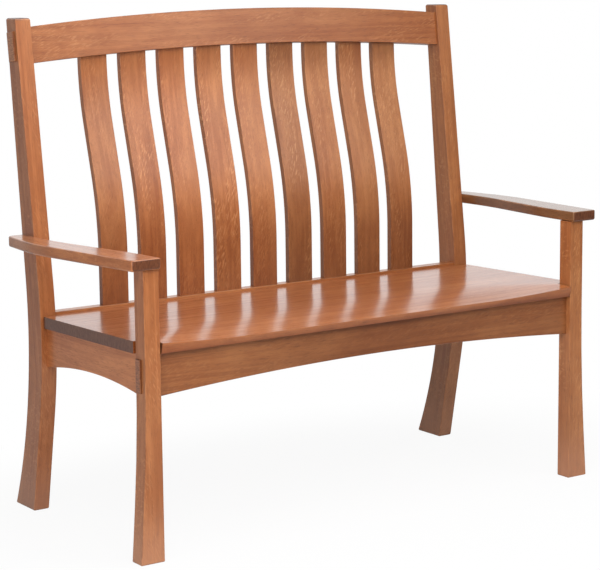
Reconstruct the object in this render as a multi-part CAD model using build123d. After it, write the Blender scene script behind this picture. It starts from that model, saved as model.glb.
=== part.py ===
from build123d import *
import math
import os

# A mission settle: a slatted bench with raked back posts, flared front legs and flat arms.
# x runs along the settle from its middle, y runs back from the front faces of the front legs,
# and z runs up from the floor. Lengths are millimetres. A name that ends in share is a plain
# ratio. The pieces are made on the right-hand side and mirrored to the left.

# Front legs
leg_set_in = 3.5             # from the seat's end in to the leg's outer face
leg_width = 38.0
leg_depth = 40.0
leg_flare = 20.0             # how far the foot stands outside the leg
leg_flare_knee = 270.0       # height where the leg's line and the foot's line would meet
leg_flare_share = 0.554      # of the foot's line, taken by the curve between them
leg_foot_ease = 2.5
arris = 1.2                  # chamfer along the long edges of legs, posts, slats and rails

# Back posts
post_stand_out = 5.5         # from the seat's end out to the post's outer face
post_width = 39.0
post_height = 1145.0
post_knee_drop = 87.5        # from the seat's front edge down to the bend in the front face
post_knee_gap = 127.0        # from that bend down to the one in the rear face
post_knee_lead = 18.0        # the front bend stands this far ahead of the back rail
post_lean = 93.0             # the front face runs back this far from its bend to the top
post_kick = 77.5             # the front face runs back this far from its bend to the floor
post_waist = 56.0            # from the front bend to the rear bend, front to back
post_top_depth = 44.4
post_foot_depth = 92.2
post_front_share = 0.39      # of the shorter run beside each bend, taken by its curve
post_rear_share = 0.975
post_top_ease = 4.0

# Seat
seat_length = 1234.0
seat_depth = 462.0           # from the legs' front faces to the lower back rail
seat_overhang = 6.4          # ahead of the legs' front faces
seat_height = 481.5          # at the front edge, before dishing
seat_fall_share = 0.0192     # how steeply the seat falls to the rear
seat_thickness = 26.8
seat_boards = 4
seat_leg_gap = 4.0           # between the seat and the inner face of a leg
seat_leg_gap_behind = 3.0
seat_post_gap = 1.0
dish_floor = 300.0           # half the length over which the dish is level
dish_depth = 11.5            # at the front edge, from the seat's ends down to that level

# Aprons under the seat
front_apron_setback = 14.0   # behind the legs' front faces
front_apron_thickness = 21.0
front_apron_drop = 122.0     # from the seat's front edge down to the apron's lower edge at the legs
front_apron_rise = 23.5      # of the arch in its lower edge
side_apron_thickness = 21.0
side_apron_setback = 5.5     # inside the legs' outer faces
side_apron_front_drop = 118.5
side_apron_rear_drop = 130.0
side_apron_rise = 18.5

# Back rails
lower_rail_thickness = 28.0
lower_rail_lift = 6.0        # of its top edge above the seat beside it
lower_rail_height = 90.0
lower_rail_tenon = 14.0
lower_rail_tenon_depth = 26.0
crest_drop = 102.0           # from the posts' tops down to the rail's lower edge at the posts
crest_setback = 8.0          # behind the posts' front faces
crest_thickness = 32.0
crest_height = 83.1          # at the posts, measured up the rake
crest_top_rise = 26.2
crest_low_rise = 23.6

# Slats
slat_count = 9
slat_width = 69.5
slat_gap = 35.3
slat_thickness = 16.0
slat_foot_setback = 6.4      # behind the lower rail's front face
slat_head_setback = 12.8     # behind the crest rail's front face at its lower corner
slat_low_bend_share = 0.3757  # of the height from the lower rail up to the crest rail's ends
slat_high_bend_share = 0.8819
slat_low_share = 0.475       # of the shorter run beside each bend, taken by its curve
slat_high_share = 0.86
slat_foot_entry = 12.0       # into the lower rail
slat_head_entry = 15.0       # into the crest rail

# Tenons
front_tenon_height = 72.5
front_tenon_lift = 12.0      # above the front apron's lower corner
front_tenon_shoulder = 1.0
tenon_proud = 5.0            # of the face that a through tenon leaves
tenon_ease = 1.8
crest_tenon_height = 68.0
crest_tenon_lift = 6.1       # above the crest rail's lower corner
crest_tenon_shoulder = 1.0
side_tenon_thickness = 12.0
side_tenon_height = 58.0
side_tenon_drop = 16.0       # below the top of the side apron
side_tenon_web = 1.5         # between the two tenons that meet in a front leg
side_tenon_rear_depth = 11.0
rail_tenon_web = 2.0         # between the two tenons that meet in a back post
glue_line = 0.1              # play on each face of a mortise
mortise_relief = 1.0         # play past the end of a blind tenon

# Arms
arm_height = 661.2           # top face at the front end
arm_fall_share = 0.012       # how steeply the arm falls to the rear
arm_thickness = 24.5
arm_overhang = 10.0          # ahead of the legs' front faces
arm_inset = 1.5              # inside the leg's inner face, at the front end
arm_front_width = 71.0
arm_first_bend = 95.0        # from the legs' front faces to the bend in the inner edge
arm_first_swing = 5.0        # how far out the inner edge has come at that bend
arm_lap_start = 375.0        # where the inner edge meets the line of the post's outer face
arm_widest = 365.0           # where the outer edge bends back
arm_belly = 62.0             # outside the post, at that bend
arm_rear_width = 41.5        # outside the post, at the rear end
arm_rear_setback = 8.0       # ahead of the post's rear face
arm_front_corner = 6.5
arm_rear_corner = 14.0
arm_bend_share = 0.45
arm_ease = 3.0               # of the upper arrises
arm_under_ease = 5.0         # of the lower arrises
leg_tenon_width = 20.0       # stub on top of the leg, in the arm
leg_tenon_depth = 22.0
leg_tenon_rise = 14.0
loose_tenon_thickness = 8.0  # between the post and the arm's edge
loose_tenon_width = 30.0
loose_tenon_entry = 20.0     # into the post, and as far into the arm

# Seat bearers, corner blocks and screws
bearer_place = 200.0         # from the middle of the settle
bearer_width = 45.0
bearer_depth = 22.0
bearer_tenon_width = 30.0
bearer_tenon_depth = 8.0
bearer_tenon_thickness = 10.0
block_gap = 6.0              # between a corner block and the corner of the leg
block_width = 32.0
block_height = 45.0
screw_bite = 9.0             # into the seat boards
screw_diameter = 4.5
screw_head = 9.0
screw_head_depth = 2.6

# Places that follow from those sizes
seat_end = seat_length / 2
leg_outer = seat_end - leg_set_in
leg_inner = leg_outer - leg_width
post_outer = seat_end + post_stand_out
post_inner = post_outer - post_width
reach = 2 * seat_length      # larger than the settle, for cutting
front_apron_rear = front_apron_setback + front_apron_thickness
front_tenon_rear = front_apron_rear - front_tenon_shoulder
side_apron_outer = leg_outer - side_apron_setback
side_apron_inner = side_apron_outer - side_apron_thickness
front_apron_low = seat_height - front_apron_drop
side_apron_front_low = seat_height - side_apron_front_drop
side_apron_rear_low = seat_height - side_apron_rear_drop
post_front = seat_depth - post_knee_lead
post_front_knee = seat_height - post_knee_drop
post_rear_knee = post_front_knee - post_knee_gap
post_rake = math.atan2(post_lean, post_height - post_front_knee)
crest_low = post_height - crest_drop
middle = (post_front + post_kick + post_foot_depth - arm_overhang) / 2

seat_top = Plane(origin=(0, -seat_overhang, seat_height), x_dir=(1, 0, 0), z_dir=(0, seat_fall_share, 1))
seat_under = seat_top.offset(-seat_thickness)
arm_top = Plane(origin=(0, -arm_overhang, arm_height), x_dir=(1, 0, 0), z_dir=(0, arm_fall_share, 1))
arm_under = arm_top.offset(-arm_thickness)


def height_on(plane, y):
    """Height of a plane that falls to the rear, above the place y."""
    return plane.origin.Z - (y - plane.origin.Y) * plane.z_dir.Y / plane.z_dir.Z


lower_rail_top = height_on(seat_top, seat_depth) + lower_rail_lift
slat_low_bend = lower_rail_top + slat_low_bend_share * (crest_low - lower_rail_top)
slat_high_bend = lower_rail_top + slat_high_bend_share * (crest_low - lower_rail_top)


def above(plane):
    """Everything over a plane."""
    return plane * Pos(0, 0, reach / 2) * Box(reach, reach, reach)


def layer(plane, thickness):
    """The layer of this thickness that lies under a plane."""
    return plane * Pos(0, 0, -thickness / 2) * Box(reach, reach, thickness)


def block(x, y, z):
    """A box between the two places given along each axis."""
    size = [abs(b - a) for a, b in (x, y, z)]
    centre = [(a + b) / 2 for a, b in (x, y, z)]
    return Pos(*centre) * Box(*size)


def bend_radius(before, corner, after, share):
    """Radius of the curve that takes this share of the shorter run beside a corner."""
    runs = [Vector(*before) - Vector(*corner), Vector(*after) - Vector(*corner)]
    turn = math.radians(180 - runs[0].get_angle(runs[1]))
    return share * min(run.length for run in runs) / math.tan(turn / 2)


def outline(corners, radii):
    """A face through these corners, each rounded by its radius or sharp at 0."""
    return make_face(FilletPolyline(*corners, radius=radii, close=True))


def upright(face, y, thickness):
    """Extrude a front view forwards from the place y."""
    return extrude(Plane.XZ.offset(-y) * face, thickness)


def sidelong(face, x, thickness):
    """Extrude a side view outwards from the place x."""
    return extrude(Plane.YZ.offset(x) * face, thickness)


def long_edges(solid, across, ends):
    """Edges of the faces square to one axis, without those that run along the other."""
    edges = [edge for face in solid.faces().filter_by(across) for edge in face.edges()]
    return ShapeList(edges).filter_by(ends, reverse=True)


def arch(x, half_span, rise):
    """Height of a round arch over its springing, this far from its middle."""
    radius = (half_span ** 2 + rise ** 2) / (2 * rise)
    return math.sqrt(radius ** 2 - x ** 2) - (radius - rise)


def both_sides(solid):
    """A right-hand piece and its mirror image."""
    return {"right": solid, "left": mirror(solid, about=Plane.YZ)}


# Front legs

def front_leg():
    """A square leg whose outer face sweeps out to the foot, under the arm."""
    knee = (leg_outer, leg_flare_knee)
    foot = (leg_outer + leg_flare, 0)
    head = (leg_outer, arm_height)
    sweep_radius = bend_radius(foot, knee, head, leg_flare_share)
    corners = [(leg_inner, 0), foot, knee, head, (leg_inner, arm_height)]
    leg = upright(outline(corners, [0, 0, sweep_radius, 0, 0]), leg_depth, leg_depth)
    leg = chamfer(leg.faces().sort_by(Axis.Z)[0].edges(), leg_foot_ease)
    leg = chamfer(long_edges(leg, Axis.Y, Axis.X), arris)
    leg -= above(arm_under)
    leg -= front_tenon(glue_line)
    leg -= side_front_tenon(glue_line, mortise_relief)
    return leg + leg_tenon()


def leg_tenon(play=0, relief=0):
    """The stub tenon on top of a front leg, or the room for it in the arm."""
    x, y = (leg_inner + leg_outer) / 2, leg_depth / 2
    half = (leg_tenon_width / 2 + play, leg_tenon_depth / 2 + play)
    root = height_on(arm_under, leg_depth)
    top = height_on(arm_under, y) + leg_tenon_rise + relief
    return block((x - half[0], x + half[0]), (y - half[1], y + half[1]), (root, top))


# Back posts

def post_profile():
    """Side view of a back post."""
    top_front = post_front + post_lean
    toe = post_front + post_kick
    front_knee = (post_front, post_front_knee)
    rear_knee = (post_front + post_waist, post_rear_knee)
    corners = [
        (toe, 0), (toe + post_foot_depth, 0), rear_knee,
        (top_front + post_top_depth, post_height), (top_front, post_height), front_knee,
    ]
    front_radius = bend_radius(corners[4], front_knee, corners[0], post_front_share)
    rear_radius = bend_radius(corners[1], rear_knee, corners[3], post_rear_share)
    return outline(corners, [0, 0, rear_radius, 0, 0, front_radius])


def post_blank():
    """A back post without its joints."""
    post = sidelong(post_profile(), post_inner, post_width)
    post = chamfer(post.faces().sort_by(Axis.Z)[0].edges(), leg_foot_ease)
    post = chamfer(post.faces().sort_by(Axis.Z)[-1].edges(), post_top_ease)
    return chamfer(long_edges(post, Axis.X, Axis.Y), arris)


def post_front_at(height):
    """Place of the post's front face at a height above its bend."""
    return post_front + (height - post_front_knee) * math.tan(post_rake)


def post_rear_at(height):
    """Place of the post's rear face at a height above its bend."""
    rear_knee = post_front + post_waist
    lean = (post_front + post_lean + post_top_depth - rear_knee) / (post_height - post_rear_knee)
    return rear_knee + (height - post_rear_knee) * lean


def back_post():
    """A back post, mortised for the crest rail, the lower rail, the side apron and the arm."""
    post = post_blank()
    post -= crest_tenon(glue_line)
    post -= lower_rail_end(glue_line, mortise_relief)
    post -= side_rear_tenon(glue_line, mortise_relief)
    return post - loose_tenon(glue_line, mortise_relief)


# Crest rail

crest_face = Plane(
    origin=(0, post_front_at(crest_low) + crest_setback, crest_low),
    x_dir=(1, 0, 0), z_dir=(0, -1, math.tan(post_rake)),
)


def crest_tenon(play):
    """The crest rail's end, from inside the post out through it."""
    low = crest_tenon_lift - play
    high = crest_tenon_lift + crest_tenon_height + play
    front = -crest_tenon_shoulder + play
    rear = crest_tenon_shoulder - crest_thickness - play
    end = post_outer + tenon_proud
    tenon = block((post_inner, end), (low, high), (rear, front))
    if play == 0:
        tenon = chamfer(tenon.faces().sort_by(Axis.X)[-1].edges(), tenon_ease)
    return crest_face * tenon


def crest_rail():
    """The crest rail, arched above and below, mortised for the slats."""
    top = crest_height + crest_top_rise
    lines = [
        ThreePointArc((-post_inner, 0), (0, crest_low_rise), (post_inner, 0)),
        Line((post_inner, 0), (post_inner, crest_height)),
        ThreePointArc((post_inner, crest_height), (0, top), (-post_inner, crest_height)),
        Line((-post_inner, crest_height), (-post_inner, 0)),
    ]
    body = extrude(crest_face * make_face(lines), -crest_thickness)
    edges = [edge for face in body.faces().filter_by(crest_face) for edge in face.edges()]
    body = chamfer([edge for edge in edges if edge.geom_type == GeomType.CIRCLE], arris)
    rail = body + crest_tenon(0) + mirror(crest_tenon(0), about=Plane.YZ)
    for place in slat_places():
        rail -= slat(place, glue_line, mortise_relief)
    return rail


def crest_under(x):
    """Height of the crest rail's lower edge at a place along it."""
    return crest_low + arch(x, post_inner, crest_low_rise) * math.cos(post_rake)


# Lower back rail

def lower_rail_end(play, relief):
    """The stub tenon at the right-hand end of the lower back rail."""
    centre = seat_depth + lower_rail_thickness / 2 + rail_tenon_shift()
    half = lower_rail_tenon / 2 + play
    low = lower_rail_top - lower_rail_height + side_tenon_drop - play
    high = lower_rail_top - side_tenon_drop + play
    end = post_inner + lower_rail_tenon_depth + relief
    return block((post_inner, end), (centre - half, centre + half), (low, high))


def rail_tenon_shift():
    """How far the lower rail's tenon moves back to clear the side apron's."""
    needed = side_rear_tenon_end() + mortise_relief + rail_tenon_web + lower_rail_tenon / 2
    return max(0, needed - seat_depth - lower_rail_thickness / 2)


def lower_back_rail():
    """The rail that the slats stand in and the seat butts against."""
    low = lower_rail_top - lower_rail_height
    rail = block(
        (-post_inner, post_inner), (seat_depth, seat_depth + lower_rail_thickness), (low, lower_rail_top)
    )
    rail = chamfer(rail.edges().filter_by(Axis.X), arris)
    tenon = lower_rail_end(0, 0)
    rail = rail + tenon + mirror(tenon, about=Plane.YZ)
    for place in slat_places():
        rail -= slat(place, glue_line, mortise_relief)
    for side in (-1, 1):
        rail -= bearer_tenons(side, glue_line, mortise_relief)
    return rail


# Slats

def slat_places():
    """Centres of the slats along the settle."""
    pitch = slat_width + slat_gap
    return [pitch * (number - (slat_count - 1) / 2) for number in range(slat_count)]


def slat(place, play=0, relief=0):
    """One S-shaped slat, or the room that it needs in the rails."""
    front = seat_depth + slat_foot_setback - play
    lean = crest_face.origin.Y + slat_head_setback - seat_depth - slat_foot_setback
    thickness = slat_thickness + 2 * play
    width = slat_width + 2 * play
    foot = lower_rail_top - slat_foot_entry - relief
    head = crest_under(place) + slat_head_entry + relief
    shortest = crest_under(slat_places()[-1]) + slat_head_entry
    bends = [(front, slat_low_bend), (front + lean, slat_high_bend)]
    low_radius = bend_radius((front, lower_rail_top), bends[0], bends[1], slat_low_share)
    high_radius = bend_radius(bends[0], bends[1], (front + lean, shortest), slat_high_share)
    half_turn = math.atan2(lean, slat_high_bend - slat_low_bend) / 2
    drop = thickness * math.tan(half_turn)
    corners = [(front, foot), *bends, (front + lean, head), (front + lean + thickness, head)]
    corners += [(y + thickness, z - drop) for y, z in reversed(bends)]
    corners.append((front + thickness, foot))
    radii = [0, low_radius, high_radius, 0, 0, high_radius + thickness, low_radius - thickness, 0]
    piece = sidelong(outline(corners, radii), place - width / 2, width)
    if play == 0:
        piece = chamfer(long_edges(piece, Axis.X, Axis.Y), arris)
    return piece


# Front apron

def front_tenon(play):
    """The front apron's right-hand end, from inside the leg out through it."""
    low = front_apron_low + front_tenon_lift
    front = front_apron_setback + front_tenon_shoulder
    tenon = block(
        (leg_inner, leg_outer + tenon_proud), (front - play, front_tenon_rear + play),
        (low - play, low + front_tenon_height + play),
    )
    if play == 0:
        tenon = chamfer(tenon.faces().sort_by(Axis.X)[-1].edges(), tenon_ease)
    return tenon


def front_apron():
    """The rail under the seat's front edge, arched below, with through tenons."""
    lines = [
        ThreePointArc((-leg_inner, front_apron_low), (0, front_apron_low + front_apron_rise),
                      (leg_inner, front_apron_low)),
        Polyline((leg_inner, front_apron_low), (leg_inner, seat_height), (-leg_inner, seat_height),
                 (-leg_inner, front_apron_low)),
    ]
    body = upright(make_face(lines), front_apron_rear, front_apron_thickness)
    body = chamfer(body.edges().filter_by(GeomType.CIRCLE), arris)
    body -= above(seat_under)
    apron = body + front_tenon(0) + mirror(front_tenon(0), about=Plane.YZ)
    for side in (-1, 1):
        apron -= bearer_tenons(side, glue_line, mortise_relief)
    return apron


# Side aprons

def side_rear_tenon_end():
    """Place of the end of the side apron's rear tenon."""
    return post_front + post_knee_lead / 2 + side_tenon_rear_depth


def side_tenon_span():
    """Lowest and highest point of the side apron's tenons."""
    high = height_on(seat_under, seat_depth) - side_tenon_drop
    return high - side_tenon_height, high


def side_tenon_block(start, end, play):
    """A tenon of the side apron between two places along it."""
    middle_x = side_apron_inner + side_apron_thickness / 2
    half = side_tenon_thickness / 2 + play
    low, high = side_tenon_span()
    return block((middle_x - half, middle_x + half), (start, end), (low - play, high + play))


def side_front_tenon(play, relief):
    """The side apron's stub tenon in the front leg."""
    return side_tenon_block(front_tenon_rear + side_tenon_web - relief, leg_depth, play)


def side_rear_tenon(play, relief):
    """The side apron's stub tenon in the back post."""
    return side_tenon_block(post_front, side_rear_tenon_end() + relief, play)


def side_apron():
    """The right-hand side rail, arched below and scribed to the back post."""
    crown = (side_apron_front_low + side_apron_rear_low) / 2 + side_apron_rise
    lines = [
        ThreePointArc((leg_depth, side_apron_front_low), ((leg_depth + seat_depth) / 2, crown),
                      (seat_depth, side_apron_rear_low)),
        Polyline((seat_depth, side_apron_rear_low), (seat_depth, seat_height), (leg_depth, seat_height),
                 (leg_depth, side_apron_front_low)),
    ]
    body = sidelong(make_face(lines), side_apron_inner, side_apron_thickness)
    body = chamfer(body.edges().filter_by(GeomType.CIRCLE), arris)
    body -= above(seat_under)
    body -= sidelong(post_profile(), post_inner, post_width)
    return body + side_front_tenon(0, 0) + side_rear_tenon(0, 0)


# Seat

def seat_slab():
    """The whole seat: sloping, notched round legs and posts, and dished along its length."""
    notch = (leg_inner - seat_leg_gap, leg_depth + seat_leg_gap_behind)
    right = [
        (notch[0], -seat_overhang), notch, (seat_end, notch[1]), (seat_end, seat_depth),
    ]
    left = [(-x, y) for x, y in reversed(right)]
    plan = make_face(Polyline(*right, *left, close=True))
    slab = extrude(plan, reach) & layer(seat_top, seat_thickness)
    room = Pos(-seat_post_gap, -seat_post_gap, 0) * sidelong(post_profile(), post_inner, reach)
    return slab - room - mirror(room, about=Plane.YZ) - seat_dish()


def seat_dish():
    """The trough cut along the seat, level in the middle and rising to both ends."""
    low = seat_height - dish_depth
    run = seat_end - dish_floor
    radius = (run ** 2 + dish_depth ** 2) / (2 * dish_depth)
    half_angle = math.asin(run / radius) / 2
    halfway = (
        dish_floor + radius * math.sin(half_angle), low + radius * (1 - math.cos(half_angle))
    )
    sky = seat_height + seat_thickness
    lines = [
        Line((-dish_floor, low), (dish_floor, low)),
        ThreePointArc((dish_floor, low), halfway, (seat_end, seat_height)),
        Polyline((seat_end, seat_height), (seat_end, sky), (-seat_end, sky), (-seat_end, seat_height)),
        ThreePointArc((-seat_end, seat_height), (-halfway[0], halfway[1]), (-dish_floor, low)),
    ]
    return upright(make_face(lines), reach / 2, reach)


def board_width():
    """Width of each board of the seat."""
    return (seat_depth + seat_overhang) / seat_boards


def seat_board(number):
    """One board of the seat, counted from the front."""
    start = -seat_overhang + number * board_width()
    strip = block((-reach, reach), (start, start + board_width()), (0, reach))
    board = seat_slab() & strip
    for room in seat_screws(glue_line, mortise_relief):
        board -= room
    return board


# Arms

def arm():
    """A flat board, bent outwards in plan, that lies on the leg and laps the post."""
    rear = post_rear_at(arm_height) - arm_rear_setback
    inner = leg_inner - arm_inset
    corners = [
        (inner, -arm_overhang), (inner + arm_front_width, -arm_overhang),
        (post_outer + arm_belly, arm_widest), (post_outer + arm_rear_width, rear), (post_outer, rear),
        (post_outer, arm_lap_start), (inner + arm_first_swing, arm_first_bend),
    ]
    around = [corners[-1], *corners, corners[0]]
    bends = {
        place: bend_radius(around[place], around[place + 1], around[place + 2], arm_bend_share)
        for place in (2, 5, 6)
    }
    radii = [arm_front_corner, arm_front_corner, bends[2], arm_rear_corner, 0, bends[5], bends[6]]
    board = extrude(outline(corners, radii), -arm_thickness)
    board = chamfer(board.faces().sort_by(Axis.Z)[-1].edges(), arm_ease)
    board = chamfer(board.faces().sort_by(Axis.Z)[0].edges(), arm_under_ease)
    board = arm_top * Pos(0, arm_overhang, 0) * board
    return board - leg_tenon(glue_line, mortise_relief) - loose_tenon(glue_line, mortise_relief)


def loose_tenon(play=0, relief=0):
    """The loose tenon between a back post and the arm's edge, or the room for it."""
    y = (post_front_at(arm_height) + post_rear_at(arm_height)) / 2
    z = (height_on(arm_top, y) + height_on(arm_under, y)) / 2
    half = (loose_tenon_entry + relief, loose_tenon_width / 2 + play, loose_tenon_thickness / 2 + play)
    return block(
        (post_outer - half[0], post_outer + half[0]),
        (y - half[1], y + half[1]), (z - half[2], z + half[2]),
    )


# Seat bearers, corner blocks and screws

def bearer_strip(side, half_width, start, end, plane, thickness):
    """A strip that runs front to back under the seat, between two places."""
    x = side * bearer_place
    return block((x - half_width, x + half_width), (start, end), (0, reach)) & layer(plane, thickness)


def bearer_tenons(side, play, relief):
    """Both stub tenons of a seat bearer, or the room for them."""
    drop = (bearer_depth - bearer_tenon_thickness) / 2 - play
    return bearer_strip(
        side, bearer_tenon_width / 2 + play,
        front_apron_rear - bearer_tenon_depth - relief, seat_depth + bearer_tenon_depth + relief,
        seat_under.offset(-drop), bearer_tenon_thickness + 2 * play,
    )


def seat_bearer(side):
    """A bearer under the boards, tenoned into the front apron and the lower back rail."""
    bearer = bearer_strip(
        side, bearer_width / 2, front_apron_rear, seat_depth, seat_under, bearer_depth
    )
    bearer += bearer_tenons(side, 0, 0)
    for room in seat_screws(glue_line, mortise_relief):
        bearer -= room
    return bearer


def screw_solid(length, play=0, relief=0):
    """A countersunk screw that points down from the middle of its flat head, or its hole."""
    shank_length = length - screw_head_depth + relief
    head = Cone(screw_diameter / 2 + play, screw_head / 2 + play, screw_head_depth)
    shank = Cylinder(screw_diameter / 2 + play, shank_length)
    return (
        Pos(0, 0, -screw_head_depth / 2) * head
        + Pos(0, 0, -screw_head_depth - shank_length / 2) * shank
    )


def seat_screws(play=0, relief=0):
    """The screws that hold every board to both bearers, from below, or their holes."""
    length = bearer_depth + screw_bite
    screws = []
    for side in (-1, 1):
        for number in range(seat_boards):
            y = (number + 1 / 2) * board_width() - seat_overhang
            y = max(y, front_apron_rear + bearer_tenon_width / 2)
            head = seat_under.offset(-bearer_depth) * Pos(side * bearer_place, y + seat_overhang, 0)
            screws.append(head * Rot(180, 0, 0) * screw_solid(length, play, relief))
    return screws


def block_legs():
    """Distances of a corner block's two diagonal faces from the frame's corner, along each rail."""
    near = (side_apron_inner - leg_inner) + (leg_depth - front_apron_rear) + block_gap
    return near, near + block_width * math.sqrt(2)


def block_corners():
    """The frame's two right-hand corners, each with the direction of the seat from it."""
    return {"front": (front_apron_rear, 1), "rear": (seat_depth, -1)}


def corner_block(corner):
    """A diagonal block in a right-hand corner of the seat frame."""
    y, toward = block_corners()[corner]
    near, far = block_legs()
    plan = [
        (side_apron_inner - far, y), (side_apron_inner - near, y),
        (side_apron_inner, y + toward * near), (side_apron_inner, y + toward * far),
    ]
    return extrude(make_face(Polyline(*plan, close=True)), reach) & layer(seat_under, block_height)


# All pieces by name

def group(parts):
    """Like pieces that share one node."""
    return Compound([solid for part in parts for solid in part.solids()])


def pieces():
    """Every piece of the settle, by the name of its node."""
    made = {
        "crest_rail": crest_rail(),
        "lower_back_rail": lower_back_rail(),
        "front_apron": front_apron(),
        "seat_screws": group(seat_screws()),
        "arm_loose_tenons": group(both_sides(loose_tenon()).values()),
    }
    pairs = {
        "front_leg": front_leg(),
        "back_post": back_post(),
        "side_apron": side_apron(),
        "arm": arm(),
        "corner_block_front": corner_block("front"),
        "corner_block_rear": corner_block("rear"),
    }
    for name, solid in pairs.items():
        for side, piece in both_sides(solid).items():
            made[f"{name}_{side}"] = piece
    for number, place in enumerate(slat_places(), start=1):
        made[f"slat_{number}"] = slat(place)
    for number in range(seat_boards):
        made[f"seat_board_{number + 1}"] = seat_board(number)
    for name, side in (("left", -1), ("right", 1)):
        made[f"seat_bearer_{name}"] = seat_bearer(side)
    return made


os.makedirs("parts", exist_ok=True)
for node, shape in pieces().items():
    export_step(Pos(0, -middle, 0) * shape, f"parts/{node}.step")
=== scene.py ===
"""Dresses the mission settle: its oak members, their stain and lacquer, the floor, lamps and camera.

Lengths are metres. The classes measure y back from the front faces of the front legs, and FRONT
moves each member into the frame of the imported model. Members are made on the right-hand side and
mirrored to the left.
"""

from __future__ import annotations

import logging
import math
from collections.abc import Callable, Iterable, Mapping, Sequence
from dataclasses import dataclass
from enum import Enum
from functools import partial

import bmesh
import bpy
from mathutils import Matrix, Vector

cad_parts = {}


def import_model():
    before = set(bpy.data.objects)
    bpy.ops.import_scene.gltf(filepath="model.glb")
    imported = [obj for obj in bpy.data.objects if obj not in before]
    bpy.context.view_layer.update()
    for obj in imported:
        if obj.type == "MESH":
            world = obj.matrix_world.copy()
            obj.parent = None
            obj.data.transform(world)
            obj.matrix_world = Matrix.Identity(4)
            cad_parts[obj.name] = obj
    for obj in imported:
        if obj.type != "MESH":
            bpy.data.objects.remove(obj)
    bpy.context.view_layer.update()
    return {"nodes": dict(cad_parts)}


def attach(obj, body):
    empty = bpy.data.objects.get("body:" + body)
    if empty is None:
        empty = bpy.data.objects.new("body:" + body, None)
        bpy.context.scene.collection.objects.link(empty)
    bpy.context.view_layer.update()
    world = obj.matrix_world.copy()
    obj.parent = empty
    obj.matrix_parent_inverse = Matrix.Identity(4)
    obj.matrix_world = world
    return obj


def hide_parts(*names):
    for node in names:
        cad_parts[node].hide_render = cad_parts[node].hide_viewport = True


FRONT = -0.30185
ARC_STEP = math.radians(1.5)
ARCH_STEPS = 48
LONG_ARCH_STEPS = 96
EDGE_ANGLE = math.radians(30)
SHARP_ANGLE = math.radians(50)
END_GRAIN = 0.8
FACE_WEIGHT = 60
HAIRLINE = 0.0002
# An edge within TOUCH of a plane lies in it, and one farther than CLEAR is away from it.
TOUCH = 0.0001
CLEAR = 0.001
# Each new board starts this much farther along, across and into the oak than the one before.
BOARD_SHIFT = (1.37, 0.53, 0.29)
BODY = "root"

Point = tuple[float, float]
Pair = tuple[float, float]
Place = tuple[float, float, float]
Colour = tuple[int, int, int]
Solid = bmesh.types.BMesh
Socket = bpy.types.NodeSocket
Sockets = bpy.types.bpy_prop_collection
Feeds = Mapping[str | int, object]
Test = Callable[[Vector], bool]
Shade = Callable[[Vector], float]
Line = Callable[[float], float]

log = logging.getLogger("settle")


class Side(Enum):
    """The two halves of the settle, seen from its front."""

    LEFT = -1
    RIGHT = 1

    @property
    def word(self) -> str:
        """The side as node names have it."""
        return self.name.lower()


class View(Enum):
    """The plane that an outline is drawn in; the solid is extruded along the third axis."""

    FRONT = (0, 2, 1)
    SIDE = (1, 2, 0)
    PLAN = (0, 1, 2)

    def place(self, across: float, up: float, along: float) -> Vector:
        """Turn a point of the outline and a place along the extrusion into a point in space.

        Args:
            across: First coordinate of the outline.
            up: Second coordinate of the outline.
            along: Place along the extrusion.

        Returns:
            The point in space.
        """
        point = Vector()
        for axis, value in zip(self.value, (across, up, along)):
            point[axis] = value
        return point


class Grain(Enum):
    """How a board lies: the axes of its length, its width and its thickness."""

    ALONG_X_UPRIGHT = (0, 2, 1)
    ALONG_X_FLAT = (0, 1, 2)
    ALONG_Y_UPRIGHT = (1, 2, 0)
    ALONG_Y_FLAT = (1, 0, 2)
    ALONG_Z = (2, 0, 1)


def clamped(share: float) -> float:
    """Hold a share between 0 and 1."""
    return min(1.0, max(0.0, share))


def linear(colour: Colour) -> tuple[float, float, float, float]:
    """Turn a screen colour into the linear colour that shaders use.

    Args:
        colour: Red, green and blue from 0 to 255.

    Returns:
        The linear colour with full alpha.
    """
    shares = [channel / 255 for channel in colour]
    values = [s / 12.92 if s <= 0.04045 else ((s + 0.055) / 1.055) ** 2.4 for s in shares]
    return (values[0], values[1], values[2], 1.0)


def bend_radius(corners: Sequence[Point], place: int, share: float) -> float:
    """Find the radius of a curve that takes a share of the shorter run beside a corner.

    Args:
        corners: The outline's corners in order.
        place: Which of them is rounded.
        share: How much of the shorter run the curve takes.

    Returns:
        The radius.
    """
    corner = Vector(corners[place])
    runs = [Vector(corners[beside % len(corners)]) - corner for beside in (place - 1, place + 1)]
    turn = math.pi - runs[0].angle(runs[1])
    return share * min(run.length for run in runs) / math.tan(turn / 2)


def rounded(corners: Sequence[Point], radii: Sequence[float]) -> list[Point]:
    """Round the corners of a closed outline.

    Args:
        corners: The outline's corners in order.
        radii: A radius for each corner, 0 where it stays sharp.

    Returns:
        The outline with a run of points at each rounded corner.
    """
    points: list[Point] = []
    for index, (corner, radius) in enumerate(zip(corners, radii)):
        if radius == 0:
            points.append(corner)
            continue
        here = Vector(corner)
        back = (Vector(corners[index - 1]) - here).normalized()
        on = (Vector(corners[(index + 1) % len(corners)]) - here).normalized()
        half = back.angle(on) / 2
        centre = here + (back + on).normalized() * radius / math.sin(half)
        start = here + back * radius / math.tan(half) - centre
        end = here + on * radius / math.tan(half) - centre
        turn = math.copysign(math.pi - 2 * half, start.x * end.y - start.y * end.x)
        steps = max(2, math.ceil(abs(turn) / ARC_STEP))
        for step in range(steps + 1):
            angle = turn * step / steps
            cos, sin = math.cos(angle), math.sin(angle)
            points.append((
                centre.x + start.x * cos - start.y * sin, centre.y + start.x * sin + start.y * cos,
            ))
    return points


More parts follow.
